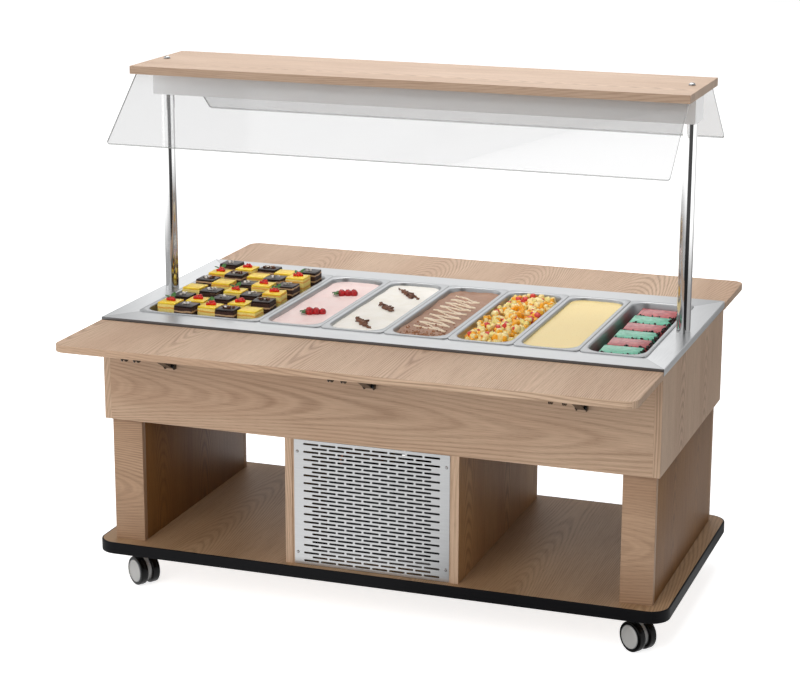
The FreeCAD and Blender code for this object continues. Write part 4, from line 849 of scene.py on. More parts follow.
@dataclass
class TraySlides:
    """The fold-down tray slides and their folding brackets."""

    shop: Workshop
    edge: float = 0.0016

    def build(self) -> None:
        """Builds both boards and dresses all bracket parts."""
        for side in ("front", "rear"):
            self.shop.eased(f"oak_{side}_slide", f"{side}_tray_slide", OAK, f"{side}_tray", "oak", self.edge)
            self.shop.dress(BRACKET_STEEL, f"{side}_bracket_arms", f"{side}_bracket_struts")
        self.shop.dress(BRACKET_STEEL, "bracket_wall_plates")


# ------------------------------------------------------------------ worktop and pans


@dataclass
class Worktop:
    """The folded steel border, the tub, the foam and the bars under the pans' rims."""

    shop: Workshop
    bend: float = 0.0007

    def build(self) -> None:
        """Builds the border with its bent outer edge and long lips darkened with painted shade, and dresses
        what lies under it.
        """
        end, side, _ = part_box("steel_top")[1]

        def outer(edge: Edge) -> bool:
            """Whether an edge lies along the border's outside."""
            return all(abs(abs(vert.co.x) - end) < NEAR or abs(abs(vert.co.y) - side) < NEAR
                       for vert in edge.verts)

        border = self.shop.eased("worktop_border", "steel_top", TOP_STEEL, "bar", "steel", self.bend,
                                 outer, 3)
        border.data.materials.append(LIP_SHADE_STEEL.material())
        # Faces facing Y, the long lips, take the painted-shade steel
        for face in border.data.polygons:
            face.material_index = 1 if abs(face.normal.y) > 0.6 else 0
        self.shop.dress(TUB_STEEL, "well_tub")
        self.shop.dress(PAN_STEEL, "pan_bars")
        self.shop.dress(FOAM, "well_foam")


@dataclass
class Pan:
    """One drawn steel pan: rolled rim with a turned-down lip, sloping walls and a dished floor."""

    shop: Workshop
    node: str
    body: str
    rim: float = 0.0110
    wall: float = 0.0009
    draft: float = 0.0062
    rim_corner: float = 0.0140
    mouth_corner: float = 0.0420

    def __post_init__(self) -> None:
        """Reads the pan's place and size from the frame."""
        self.low, self.high = corners(self.node)
        self.centre = (self.low + self.high) / 2
        self.width = self.high.x - self.low.x
        self.depth = self.high.y - self.low.y

    def rings(self) -> list[tuple[float, float, float]]:
        """The section from the inside of the floor out over the rim to the underside.

        Returns:
            Each ring's inset from the rim's edge, its height and its corners' radius.
        """
        top, floor, wall, mouth = self.high.z, self.low.z, self.wall, self.mouth_corner
        rim, foot = self.rim, self.rim + self.draft
        inside = [
            (foot + 0.022, floor + wall, mouth * 0.5),
            (foot + 0.012, floor + wall + 0.0006, mouth * 0.7),
            (foot + 0.004, floor + wall + 0.0040, mouth * 0.9),
            (foot, floor + wall + 0.0120, mouth),
            (rim + wall + 0.0006, top - 0.0050, mouth),
            (rim + wall, top - 0.0026, mouth),
            (rim - 0.0006, top - 0.0007, mouth + 0.0012),
            (rim - 0.0022, top - 0.0002, mouth + 0.0024),
        ]
        lip = [(0.0016, 0.0), (0.0005, 0.0004), (0.0, 0.0012), (0.0, 0.0025), (wall, 0.0022), (wall, 0.0014)]
        edge = [(inset, top - drop, self.rim_corner - inset) for inset, drop in lip]
        under = [(inset - wall * 1.02, height - wall * (0.6 if height > top - 0.004 else 0.0), radius)
                 for inset, height, radius in reversed(inside[3:-1])]
        under += [(foot + 0.004 - wall, floor + 0.0032, mouth * 0.9), (foot + 0.012, floor, mouth * 0.7)]
        return inside + edge + under

    def build(self) -> None:
        """Builds the pan in place of its node."""
        shape = bmesh.new()
        loops = [ring(shape, self.width - inset * 2, self.depth - inset * 2, radius, height, self.centre)
                 for inset, height, radius in self.rings()]
        for first, second in zip(loops, loops[1:]):
            bmesh.ops.bridge_loops(shape, edges=first + second)
        for loop in (loops[0], loops[-1]):
            bmesh.ops.contextual_create(shape, geom=loop)
        bmesh.ops.recalc_face_normals(shape, faces=shape.faces)
        self.shop.finish(f"{self.body}_drawn_steel", shape, [PAN_STEEL], self.body, "steel", [self.node])

    def cavity(self, height: float, clear: float = 0.0008) -> tuple[float, float, float]:
        """The pan's inside at a height.

        Args:
            height: the Z.
            clear: how far to stay off the walls.

        Returns:
            Half the width, half the depth and the corners' radius.
        """
        share = (self.high.z - 0.005 - height) / (self.high.z - self.low.z - 0.018)
        inset = self.rim + self.wall + (self.draft - self.wall) * max(0.0, min(1.0, share)) + clear
        return self.width / 2 - inset, self.depth / 2 - inset, self.mouth_corner - clear


# ------------------------------------------------------------------ food


PINK = Cream("strawberry_mousse", paint(255, 232, 228), paint(250, 219, 214), paint(190, 60, 60), 0.5, 0.40)
WHITE = Cream("vanilla_cream", paint(254, 251, 244), paint(244, 238, 224), paint(120, 104, 88), 0.35, 0.42)
COCOA = Cream("cocoa_mousse", paint(180, 144, 122), paint(152, 114, 94), paint(84, 54, 40), 0.5, 0.50, 340.0)
CUSTARD = Cream("egg_custard", paint(255, 229, 154), paint(255, 226, 148), paint(240, 210, 140), 0.0, 0.24)
DRIZZLE = Cream("drizzled_cream", paint(250, 236, 214), paint(240, 220, 190), paint(220, 190, 150), 0.0, 0.35)
SPONGE = Layered("yellow_sponge", paint(255, 236, 150), paint(250, 214, 104), paint(236, 158, 44))
FUDGE = Layered("dark_sponge", paint(66, 38, 28), paint(34, 20, 16), paint(206, 168, 128))
MANGO_GLAZE = Glossy("mango_glaze", paint(255, 226, 62), paint(253, 204, 34), 0.30)
CHOCOLATE_GLAZE = Glossy("chocolate_glaze", paint(44, 28, 24), paint(26, 16, 14), 0.24, shine=0.22)
CHOCOLATE = Glossy("chocolate_curls", paint(124, 80, 54), paint(86, 50, 34), 0.40)
NUT = Glossy("chopped_nuts", paint(176, 124, 88), paint(140, 92, 62), 0.55)
BERRY = Glossy("red_berries", paint(190, 24, 28), paint(140, 10, 20), 0.14, 160.0)
CURRANT = Glossy("red_currants", paint(222, 40, 16), paint(180, 20, 12), 0.10, 160.0)
MINT = Glossy("mint_leaves", paint(74, 124, 48), paint(40, 84, 34), 0.42, 140.0)
SUGAR = Glossy("sugar_swirls", paint(238, 234, 228), paint(214, 206, 196), 0.40)
MANGO = Glossy("diced_mango", paint(253, 186, 44), paint(246, 160, 24), 0.18)
MELON = Glossy("diced_melon", paint(255, 236, 172), paint(250, 220, 136), 0.18)
PAPAYA = Glossy("diced_papaya", paint(230, 84, 70), paint(208, 52, 44), 0.18)
GRAPE = Glossy("diced_grape", paint(254, 240, 168), paint(244, 226, 126), 0.16)
RED_JELLY = Glossy("red_jelly", paint(196, 92, 92), paint(168, 58, 66), 0.16)
GREEN_JELLY = Glossy("green_jelly", paint(110, 200, 168), paint(84, 176, 142), 0.16)


@dataclass
class Filling:
    """What fills one pan, built on the pan's own inside."""

    shop: Workshop
    pan: Pan
    seed: int

    def __post_init__(self) -> None:
        """Seeds the draws that scatter small things, and the vector noise, which else follows the clock."""
        self.draw = random.Random(self.seed)
        noise.seed_set(self.seed)
        self.x, self.y = self.pan.centre.x, self.pan.centre.y

    def finish(self, name: str, shape: Mesh, finishes: Sequence[Finish], smooth: float = 50.0) -> None:
        """Finishes a piece of food that rides on the pan."""
        self.shop.finish(f"{self.pan.body}_{name}", shape, finishes, self.pan.body, smooth=smooth)

    def bed(self, name: str, finish: Finish, level: float, swell: float, ripple: float, wave: float = 18.0,
            crown: float = 0.0) -> Callable[[float, float], float]:
        """Fills the pan with a soft mass that has an uneven top.

        Args:
            name: the piece's name.
            finish: its finish.
            level: the top's depth below the rim.
            swell: the height of its broad unevenness.
            ripple: the height of its fine unevenness.
            wave: waves of the unevenness in a metre.
            crown: how much the middle stands above the edge.

        Returns:
            A function that gives the top's Z at a place.
        """
        top = self.pan.high.z - level
        half_w, half_d, corner = self.pan.cavity(top)

        def height(x: float, y: float) -> float:
            """The top's Z at a place."""
            spot = Vector((x, y, self.seed * 3.1)) * wave
            rise = swell * noise.noise(spot) + ripple * noise.noise(spot * 7)
            edge = min(1.0, min(half_w - abs(x - self.x), half_d - abs(y - self.y)) / 0.03)
            return top + rise + crown * max(0.0, edge) ** 0.5

        shape = bmesh.new()
        step = 0.006
        bmesh.ops.create_grid(shape, x_segments=max(12, round(half_w * 2 / step)),
                              y_segments=round(half_d * 2 / step), size=0.5)
        bmesh.ops.scale(shape, vec=(half_w * 2, half_d * 2, 1), verts=shape.verts)
        for vert in shape.verts:
            self.round_in(vert, half_w, half_d, corner)
        bmesh.ops.translate(shape, vec=(self.x, self.y, top), verts=shape.verts)
        for vert in shape.verts:
            vert.co.z = height(vert.co.x, vert.co.y)
        border = [edge for edge in shape.edges if edge.is_boundary]
        skirt = bmesh.ops.extrude_edge_only(shape, edges=border)["geom"]
        lowered = only(skirt, Vert)
        bmesh.ops.translate(shape, vec=(0, 0, -0.020), verts=lowered)
        bmesh.ops.scale(shape, vec=(0.985, 0.992, 1), verts=lowered, space=at((-self.x, -self.y, 0)))
        bmesh.ops.contextual_create(shape, geom=[edge for edge in only(skirt, Edge) if edge.is_boundary])
        bmesh.ops.recalc_face_normals(shape, faces=shape.faces)
        self.finish(name, shape, [finish], 60.0)
        return height

    @staticmethod
    def round_in(vert: Vert, half_w: float, half_d: float, corner: float) -> None:
        """Pulls a vertex near a corner of a rectangle in to the rounded outline.

        Args:
            vert: the vertex, about the origin.
            half_w: half the rectangle's width.
            half_d: half its depth.
            corner: the corner's radius.
        """
        over_x = abs(vert.co.x) - (half_w - corner)
        over_y = abs(vert.co.y) - (half_d - corner)
        if min(over_x, over_y) <= 0:
            return
        reach = max(over_x, over_y) / math.hypot(over_x, over_y)
        vert.co.x = math.copysign(half_w - corner + over_x * reach, vert.co.x)
        vert.co.y = math.copysign(half_d - corner + over_y * reach, vert.co.y)

    def any_turn(self) -> Matrix:
        """A turn drawn at random."""
        return Euler([self.draw.uniform(0, math.pi) for _ in range(3)]).to_matrix()

    def berries(self, shape: Mesh, centre: Vector, count: int, size: float, spread: float) -> None:
        """Adds a few berries side by side.

        Args:
            shape: where to add them.
            centre: the group's middle, at the surface.
            count: how many.
            size: a berry's radius.
            spread: the group's length.
        """
        lean = self.draw.uniform(-0.4, 0.4)
        for place in range(count):
            along = (place - (count - 1) / 2) * spread / max(1, count - 1)
            radius = size * self.draw.uniform(0.85, 1.15)
            aside = along * lean + self.draw.uniform(-1, 1) * size * 0.3
            spin = Euler([self.draw.uniform(0, most) for most in (1, 1, 6)]).to_matrix()
            with added(shape, at(centre + Vector((along, aside, radius * 0.6)), spin), 0) as berry:
                bmesh.ops.create_icosphere(berry, subdivisions=2, radius=radius)
                for vert in berry.verts:
                    vert.co.z *= 1.0 - 0.25 * (vert.co.x / radius)

    def leaf(self, shape: Mesh, foot: Vector, length: float, heading: float, lift: float) -> None:
        """Adds a mint leaf, pointed, folded along its rib and thick enough to be closed.

        Args:
            shape: where to add it.
            foot: where it springs from.
            length: its length.
            heading: its direction on the plan, in radians.
            lift: how steeply it stands, in radians.
        """
        turn = Matrix.Rotation(heading, 3, "Z") @ Matrix.Rotation(-lift, 3, "Y")
        with added(shape, at(foot, turn), 1) as leaf:
            bmesh.ops.create_grid(leaf, x_segments=6, y_segments=2, size=0.5)
            for vert in leaf.verts:
                share = vert.co.x + 0.5
                width = 0.62 * math.sin(math.pi * min(1.0, share * 0.92 + 0.06)) ** 0.8
                sideways = vert.co.y * 2
                rise = abs(sideways) * 0.10 - share ** 2 * 0.18
                vert.co = Vector((share, sideways * width / 2, rise)) * length
            bmesh.ops.solidify(leaf, geom=leaf.faces, thickness=0.0006)

    def curl(self, shape: Mesh, centre: Vector, length: float, radius: float, heading: float,
             index: int = 0) -> None:
        """Adds a curl of chocolate, part of a thin rolled strip.

        Args:
            shape: where to add it.
            centre: its middle.
            length: the strip's width.
            radius: the roll's radius.
            heading: its direction on the plan, in radians.
            index: its material's index.
        """
        turn = (Matrix.Rotation(heading, 3, "Z") @ Matrix.Rotation(self.draw.uniform(-0.3, 0.3), 3, "Y")
                @ Matrix.Rotation(self.draw.uniform(0, math.tau), 3, "X"))
        with added(shape, at(centre, turn), index) as strip:
            ends = [strip.verts.new((side * length / 2, radius, 0)) for side in (-1, 1)]
            edge = strip.edges.new(ends)
            bmesh.ops.spin(strip, geom=[*ends, edge], cent=(0, 0, 0), axis=(1, 0, 0),
                           dvec=(length * 0.03, 0, 0), angle=math.radians(self.draw.uniform(130, 280)),
                           steps=6, use_merge=False)
            bmesh.ops.solidify(strip, geom=strip.faces, thickness=0.0007)


@dataclass
class Cakes(Filling):
    """Rows of mango and chocolate cake squares with currants, mint and sugar swirls."""

    columns: int = 5
    rows: int = 6
    side: float = 0.050
    tall: float = 0.071
    glaze: float = 0.0045
    margin: tuple[float, float] = (0.048, 0.064)

    def build(self) -> None:
        """Builds the squares and what decorates them."""
        floor = self.pan.low.z + 0.0012
        sponge, fudge, trim = bmesh.new(), bmesh.new(), bmesh.new()
        pitch_x = (self.pan.width - self.margin[0]) / self.columns
        pitch_y = (self.pan.depth - self.margin[1]) / self.rows
        for row in range(self.rows):
            for column in range(self.columns):
                dark = (row + column) % 2 == 1
                x = self.x + (column - (self.columns - 1) / 2) * pitch_x + self.draw.uniform(-1, 1) * 0.0010
                y = self.y + (row - (self.rows - 1) / 2) * pitch_y + self.draw.uniform(-1, 1) * 0.0050
                y += 0.012 * math.cos(column * math.pi)
                rise = self.tall + self.draw.uniform(-0.003, 0.004) + row * 0.0030
                spin = Matrix.Rotation(math.radians(self.draw.uniform(-4, 4)), 3, "Z")
                self.square(fudge if dark else sponge, Vector((x, y, floor)), rise, spin)
                self.decorate(trim, Vector((x, y, floor + rise)), dark, row * 2 + column)
        self.finish("mango_squares", sponge, [SPONGE, MANGO_GLAZE], 40.0)
        self.finish("chocolate_squares", fudge, [FUDGE, CHOCOLATE_GLAZE], 40.0)
        self.finish("cake_trimmings", trim, [CURRANT, MINT, SUGAR, CHOCOLATE])

    def square(self, shape: Mesh, foot: Vector, rise: float, spin: Matrix) -> None:
        """Adds one square of cake with its glaze.

        Args:
            shape: where to add it.
            foot: the middle of its underside.
            rise: its height.
            spin: its turn.
        """
        body = rise - self.glaze
        shift = Vector((self.draw.uniform(0, 40), 0, 0))
        with added(shape, at(foot, spin)) as cake:
            block(cake, (self.side, self.side, body), at((0, 0, body / 2)), 0.0015)
            long_edges = [edge for edge in cake.edges if edge.calc_length() > 0.02]
            bmesh.ops.subdivide_edges(cake, edges=long_edges, cuts=3, use_grid_fill=True)
            for vert in cake.verts:
                wobble = noise.noise(vert.co * 90 + shift) * 0.0012
                vert.co.x += math.copysign(wobble, vert.co.x)
                vert.co.y += math.copysign(wobble, vert.co.y)
            top = (self.side * 0.985, self.side * 0.985, self.glaze)
            block(cake, top, at((0, 0, body + self.glaze / 2)), 0.0014, 1)

    def decorate(self, shape: Mesh, top: Vector, dark: bool, turn: int) -> None:
        """Adds what lies on one square.

        Args:
            shape: where to add it.
            top: the middle of its top.
            dark: whether the square is chocolate.
            turn: the square's place in the pattern.
        """
        if dark and turn % 3 == 0:
            for place in range(5):
                offset = Vector(((place - 2) * 0.006, self.draw.uniform(-0.006, 0.006), 0.0014))
                self.curl(shape, top + offset, 0.009, 0.0035, self.draw.uniform(0.4, 1.2), 3)
        if dark:
            for place in range(3):
                offset = Vector(((place - 1) * 0.0065, (place - 1) * 0.004, 0.0012))
                self.curl(shape, top + offset, 0.006, 0.0042, 0.6 + place * 0.5, 2)
        elif turn % 3 != 1:
            self.berries(shape, top, 4, 0.0046, 0.017)
            self.berries(shape, top + Vector((0, 0.006, 0.003)), 2, 0.0044, 0.007)
            if turn % 2 == 0:
                for x, length, low, lift in ((0.003, 0.021, 0.8, 0.8), (-0.002, 0.017, 2.2, 0.6)):
                    foot = top + Vector((x, 0.004, 0.004))
                    self.leaf(shape, foot, length, self.draw.uniform(low, low + 1.4), lift)


@dataclass
class BerryMousse(Filling):
    """Pink mousse with two groups of strawberries and mint."""

    groups: Sequence[tuple[float, float]] = ((0.0, -0.105), (0.006, 0.105))

    def build(self) -> None:
        """Builds the mousse and its two garnishes."""
        height = self.bed("mousse", PINK, 0.0115, 0.0016, 0.0005)
        trim = bmesh.new()
        for x, y in self.groups:
            spot = Vector((self.x + x, self.y + y, height(self.x + x, self.y + y)))
            self.berries(trim, spot + Vector((0.010, 0.002, 0)), 3, 0.0102, 0.030)
            for heading in (2.4, 3.3, 4.2):
                self.leaf(trim, spot + Vector((-0.008, -0.002, 0.003)), 0.024, heading, 0.25)
        self.finish("strawberry_garnish", trim, [BERRY, MINT])


@dataclass
class VanillaCream(Filling):
    """White cream with three heaps of chocolate curls."""

    heaps: Sequence[tuple[float, float]] = ((-0.006, -0.165), (0.0, -0.005), (0.004, 0.150))
    curls: int = 54

    def build(self) -> None:
        """Builds the cream and its heaps."""
        height = self.bed("cream", WHITE, 0.0085, 0.0018, 0.0006)
        trim = bmesh.new()
        for x, y in self.heaps:
            for _ in range(self.curls):
                along = self.draw.gauss(0, 0.014)
                aside = self.draw.gauss(0, 0.0060) - along * 1.1
                place = Vector((self.x + x + along, self.y + y + aside, 0))
                place.z = height(place.x, place.y) + self.draw.uniform(0.001, 0.006)
                self.curl(trim, place, self.draw.uniform(0.006, 0.014), self.draw.uniform(0.0014, 0.0028),
                          self.draw.uniform(-0.8, 0.4))
        self.finish("chocolate_heaps", trim, [CHOCOLATE])


@dataclass
class CocoaMousse(Filling):
    """Cocoa mousse with a zigzag of cream and chopped nuts, most of them at the near end."""

    nuts: int = 170
    passes: int = 16
    points: int = 16
    bead: float = 0.0022

    def build(self) -> None:
        """Builds the mousse, the zigzag and the nuts."""
        height = self.bed("mousse", COCOA, 0.0105, 0.0042, 0.0022, 24.0)
        self.zigzag(height)
        nuts = bmesh.new()
        for _ in range(self.nuts):
            x = self.x + self.draw.uniform(-0.056, 0.056)
            y = self.y - 0.225 + self.draw.expovariate(1 / 0.035)
            if y <= self.y + 0.19:
                size = self.draw.uniform(0.002, 0.0052)
                place = (x, y, height(x, y) + size * 0.2)
                block(nuts, (size, size * 0.8, size * 0.6), at(place, self.any_turn()), size * 0.15, 0, 1)
        self.finish("nuts", nuts, [NUT])

    def zigzag(self, height: Callable[[float, float], float]) -> None:
        """Lays the drizzle.

        Args:
            height: gives the mousse's top at a place.
        """
        path = []
        for step in range(self.passes):
            for point in range(self.points):
                share = point / self.points
                swing = (share if step % 2 == 0 else 1 - share) - 0.5
                x = self.x + swing * 0.088 + noise.noise(Vector((step * 0.7, share * 2, 5))) * 0.008
                y = self.y - 0.160 + (step + share) * 0.0205 - swing * 0.042
                path.append(Vector((x, y, height(x, y) + 0.0012)))
        shape = bmesh.new()
        verts = bmesh.ops.create_circle(shape, cap_ends=False, segments=6, radius=self.bead)["verts"]
        bmesh.ops.transform(shape, matrix=at(path[0], Matrix.Rotation(math.pi / 2, 3, "Y")), verts=verts)
        edges = list(shape.edges)
        for first, second in zip(path, path[1:]):
            grown = bmesh.ops.extrude_edge_only(shape, edges=edges)["geom"]
            verts = only(grown, Vert)
            bmesh.ops.translate(shape, vec=second - first, verts=verts)
            edges = [edge for edge in only(grown, Edge) if all(vert in verts for vert in edge.verts)]
        bmesh.ops.holes_fill(shape, edges=[edge for edge in shape.edges if edge.is_boundary], sides=0)
        bmesh.ops.recalc_face_normals(shape, faces=shape.faces)
        self.finish("cream_zigzag", shape, [DRIZZLE])


@dataclass
class FruitSalad(Filling):
    """Diced fruit, heaped a little in the middle."""

    pieces: int = 420
    kinds: Sequence[tuple[str, Finish, float]] = (
        ("mango", MANGO, 0.38), ("melon", MELON, 0.32), ("papaya", PAPAYA, 0.13), ("grape", GRAPE, 0.17))

    def build(self) -> None:
        """Builds the juice bed and the dice of each fruit."""
        height = self.bed("juice", MELON, 0.0200, 0.002, 0.001, crown=0.004)
        shapes = {name: bmesh.new() for name, _, _ in self.kinds}
        shares = [share for _, _, share in self.kinds]
        half_w, half_d, _ = self.pan.cavity(self.pan.high.z - 0.015, 0.011)
        for index in range(self.pieces):
            name = self.draw.choices(list(shapes), shares)[0]
            x = self.x + self.draw.uniform(-1, 1) * half_w
            y = self.y + self.draw.uniform(-1, 1) * half_d
            if abs(x - self.x) > half_w - 0.02 and abs(y - self.y) > half_d - 0.02:
                continue
            size = self.draw.uniform(0.011, 0.0175)
            sides = (size, size * self.draw.uniform(0.75, 1.0), size * self.draw.uniform(0.6, 0.95))
            place = (x, y, height(x, y) + (0.004 if index % 3 else 0.011))
            block(shapes[name], sides, at(place, self.any_turn()), size * 0.16, 0, 1)
        for name, finish, _ in self.kinds:
            self.finish(f"diced_{name}", shapes[name], [finish], 70.0)


@dataclass
class Custard(Filling):
    """Smooth set custard."""

    def build(self) -> None:
        """Builds the custard."""
        self.bed("custard", CUSTARD, 0.0080, 0.0006, 0.0001, 9.0, 0.001)


@dataclass
class JellySlices(Filling):
    """Slices of red and green jelly laid across the pan, nearly flat, with dark chocolate between them."""

    slices: int = 6
    bits: int = 30
    pitch: float = 0.0750
    start: float = -0.177
    deep: float = 0.058
    thick: float = 0.030
    beside: Sequence[tuple[float, float]] = ((0.80, 0.98), (-0.034, 0.034))
    before: Sequence[tuple[float, float]] = ((-0.75, 0.9), (-0.038, -0.030))

    def build(self) -> None:
        """Builds the slices and the chocolate."""
        half_w, _, _ = self.pan.cavity(self.pan.high.z - 0.02, 0.009)
        red, green, dark = bmesh.new(), bmesh.new(), bmesh.new()
        lean = Matrix.Rotation(math.radians(4), 3, "X")
        for place in range(self.slices):
            y = self.y + self.start + place * self.pitch
            slant = Matrix.Rotation(math.radians(self.draw.uniform(-2.5, 2.5)), 3, "Z")
            middle = Vector((self.x + self.draw.uniform(0.000, 0.004), y, self.pan.high.z - 0.0265))
            with added(red if place % 2 else green, at(middle, slant @ lean), 0) as slab:
                block(slab, (half_w * 1.70, self.deep, self.thick), at((0, 0, 0)), 0.003, 0, 3)
                for vert in slab.verts:
                    vert.co += noise.noise_vector(vert.co * 70 + middle * 9) * 0.0010
            for bit in range(self.bits):
                size = self.draw.uniform(0.003, 0.008)
                sideways, away = self.beside if bit % 3 else self.before
                across, back = self.draw.uniform(*sideways), self.draw.uniform(*away)
                spot = Vector((middle.x + across * half_w, y + back, middle.z + 0.0150 + 0.05 * back))
                block(dark, (size, size * 0.7, size * 0.35), at(spot, self.any_turn()), size * 0.06, 0, 1)
        self.finish("red_slices", red, [RED_JELLY], 60.0)
        self.finish("green_slices", green, [GREEN_JELLY], 60.0)
        self.finish("dark_chocolate", dark, [CHOCOLATE_GLAZE], 60.0)


@dataclass
class ColdWell:
    """The seven pans and what they hold."""

    shop: Workshop

    def build(self) -> None:
        """Builds each pan with its filling."""
        order = [Cakes, BerryMousse, VanillaCream, CocoaMousse, FruitSalad, Custard, JellySlices]
        for index, kind in enumerate(order, start=1):
            node = "pan_1_full_size" if index == 1 else f"pan_{index}_half_long"
            pan = Pan(self.shop, node, f"pan_{index}")
            pan.build()
            kind(self.shop, pan, index).build()


# ------------------------------------------------------------------ canopy


@dataclass
class Canopy:
    """Posts, light box, lamp and the two guard panes."""

    shop: Workshop
    edge: float = 0.0006
    tube: float = 0.002

    def build(self) -> None:
        """Builds the canopy's metal, light and glass."""
        self.posts("canopy_posts")
        self.shop.eased("light_box_shell", "light_box", BOX_STEEL, "bar", "steel", self.edge)
        self.shop.dress(LAMP_GLOW, "lamp_diffuser")
        for side in ("front", "rear"):
            self.pane(side)

    def posts(self, node: str) -> None:
        """Replaces the posts with finer tubes.

        Args:
            node: the posts' node.
        """
        low, high = corners(node)
        radius = (high.y - low.y) / 2
        shape = bmesh.new()
        hollow = radius - self.tube
        outline = [(low.z, hollow), (low.z, radius), (high.z, radius), (high.z, hollow), (low.z, hollow)]
        for x in (low.x + radius, high.x - radius):
            lathe(shape, outline, at((x, 0, 0), Matrix.Rotation(-math.pi / 2, 3, "Y")), 72)
        self.shop.finish("polished_posts", shape, [POST_STEEL], "bar", "steel", [node])

    def pane(self, side: str) -> None:
        """Builds one pane with bright ground edges.

        Args:
            side: front or rear.
        """
        node = f"{side}_glass"
        shape = self.shop.solid(node)
        for face in shape.faces:
            face.material_index = 0 if face.calc_area() > 0.1 else 1
        rounded(shape, sharp_edges(shape), self.edge, 1, material=1)
        self.shop.finish(f"{side}_guard_pane", shape, [GLASS_FACE, GLASS_EDGE], "bar", "glass", [node], 20.0)


# ------------------------------------------------------------------ casters


@dataclass
class Casters:
    """The four twin-wheel casters, each parked at its own angle."""

    shop: Workshop
    joints: list[dict]
    radius: float = 0.0375
    half: float = 0.010
    tyre: float = 0.0075
    shoulder: float = 0.0034

    def build(self) -> None:
        """Builds housings, wheels and brake pedals, and dresses the plates."""
        self.shop.dress(ZINC, "caster_plates")
        for corner in ("front_left", "front_right", "rear_left", "rear_right"):
            self.shop.eased(f"{corner}_caster_body", f"{corner}_caster_housing", CASTER_GREY,
                            f"{corner}_swivel", "caster_grey", 0.0012, segments=3)
            for side in ("left", "right"):
                self.wheel(f"{corner}_{side}", 1 if side == "right" else -1)
        for corner in ("rear_left", "rear_right"):
            self.shop.eased(f"{corner}_brake_tread", f"{corner}_brake_pedal", HUB_GREY, f"{corner}_pedal",
                            "pedal", 0.0010)

    def wheel(self, name: str, way: int) -> None:
        """Builds one wheel: a rounded, grooved tyre round a hub with a domed cap.

        Args:
            name: the caster and the wheel's side.
            way: 1 where the joint's axis points outward, else -1.
        """
        joint = next(item for item in self.joints if item["name"] == f"{name}_wheel_spin")
        outward = Vector((1, 0, 0)).rotation_difference(Vector(joint["axis"]) * way)
        turn = at(joint["pos_m"], outward.to_matrix())
        r, h, s = self.radius, self.half, self.shoulder
        rim = r - self.tyre
        tyre, hub = bmesh.new(), bmesh.new()
        shoulder = [(h - s * (1 - math.cos(angle)), r - s * (1 - math.sin(angle)))
                    for angle in map(math.radians, (0, 22, 45, 68, 90))]
        tread = [*shoulder, (0.0012, r), (0.0006, r - 0.0006), (-0.0006, r - 0.0006), (-0.0012, r)]
        tread += [(-along, reach) for along, reach in reversed(shoulder)]
        lathe(tyre, [(h, rim), *tread, (-h, rim), (h, rim)], turn, 64)
        ringed = [(-h + 0.001, 0.006), (-h + 0.001, rim - 0.001), (-h + 0.0025, rim), (h - 0.001, rim),
                  (h + 0.0004, rim - 0.0006), (h + 0.0008, rim - 0.0020)]
        cap = [ringed[-1], (h - 0.0002, rim - 0.0028), (h - 0.0004, rim - 0.0042)]
        cap += [(h + 0.0010 * (1 - (reach / 0.0255) ** 2), reach)
                for reach in (0.0250, 0.019, 0.012, 0.006, 0.0002)]
        lathe(hub, ringed, turn, 64, 1)
        lathe(hub, [*cap, (h + 0.0010, 0.0)], turn, 64)
        self.shop.finish(f"{name}_tyre", tyre, [TYRE], f"{name}_roller", "wheel", [f"{name}_wheel"])
        self.shop.finish(f"{name}_hub", hub, [HUB_GREY, HUB_RING], f"{name}_roller", "wheel", [], 40.0)


# ------------------------------------------------------------------ machine compartment


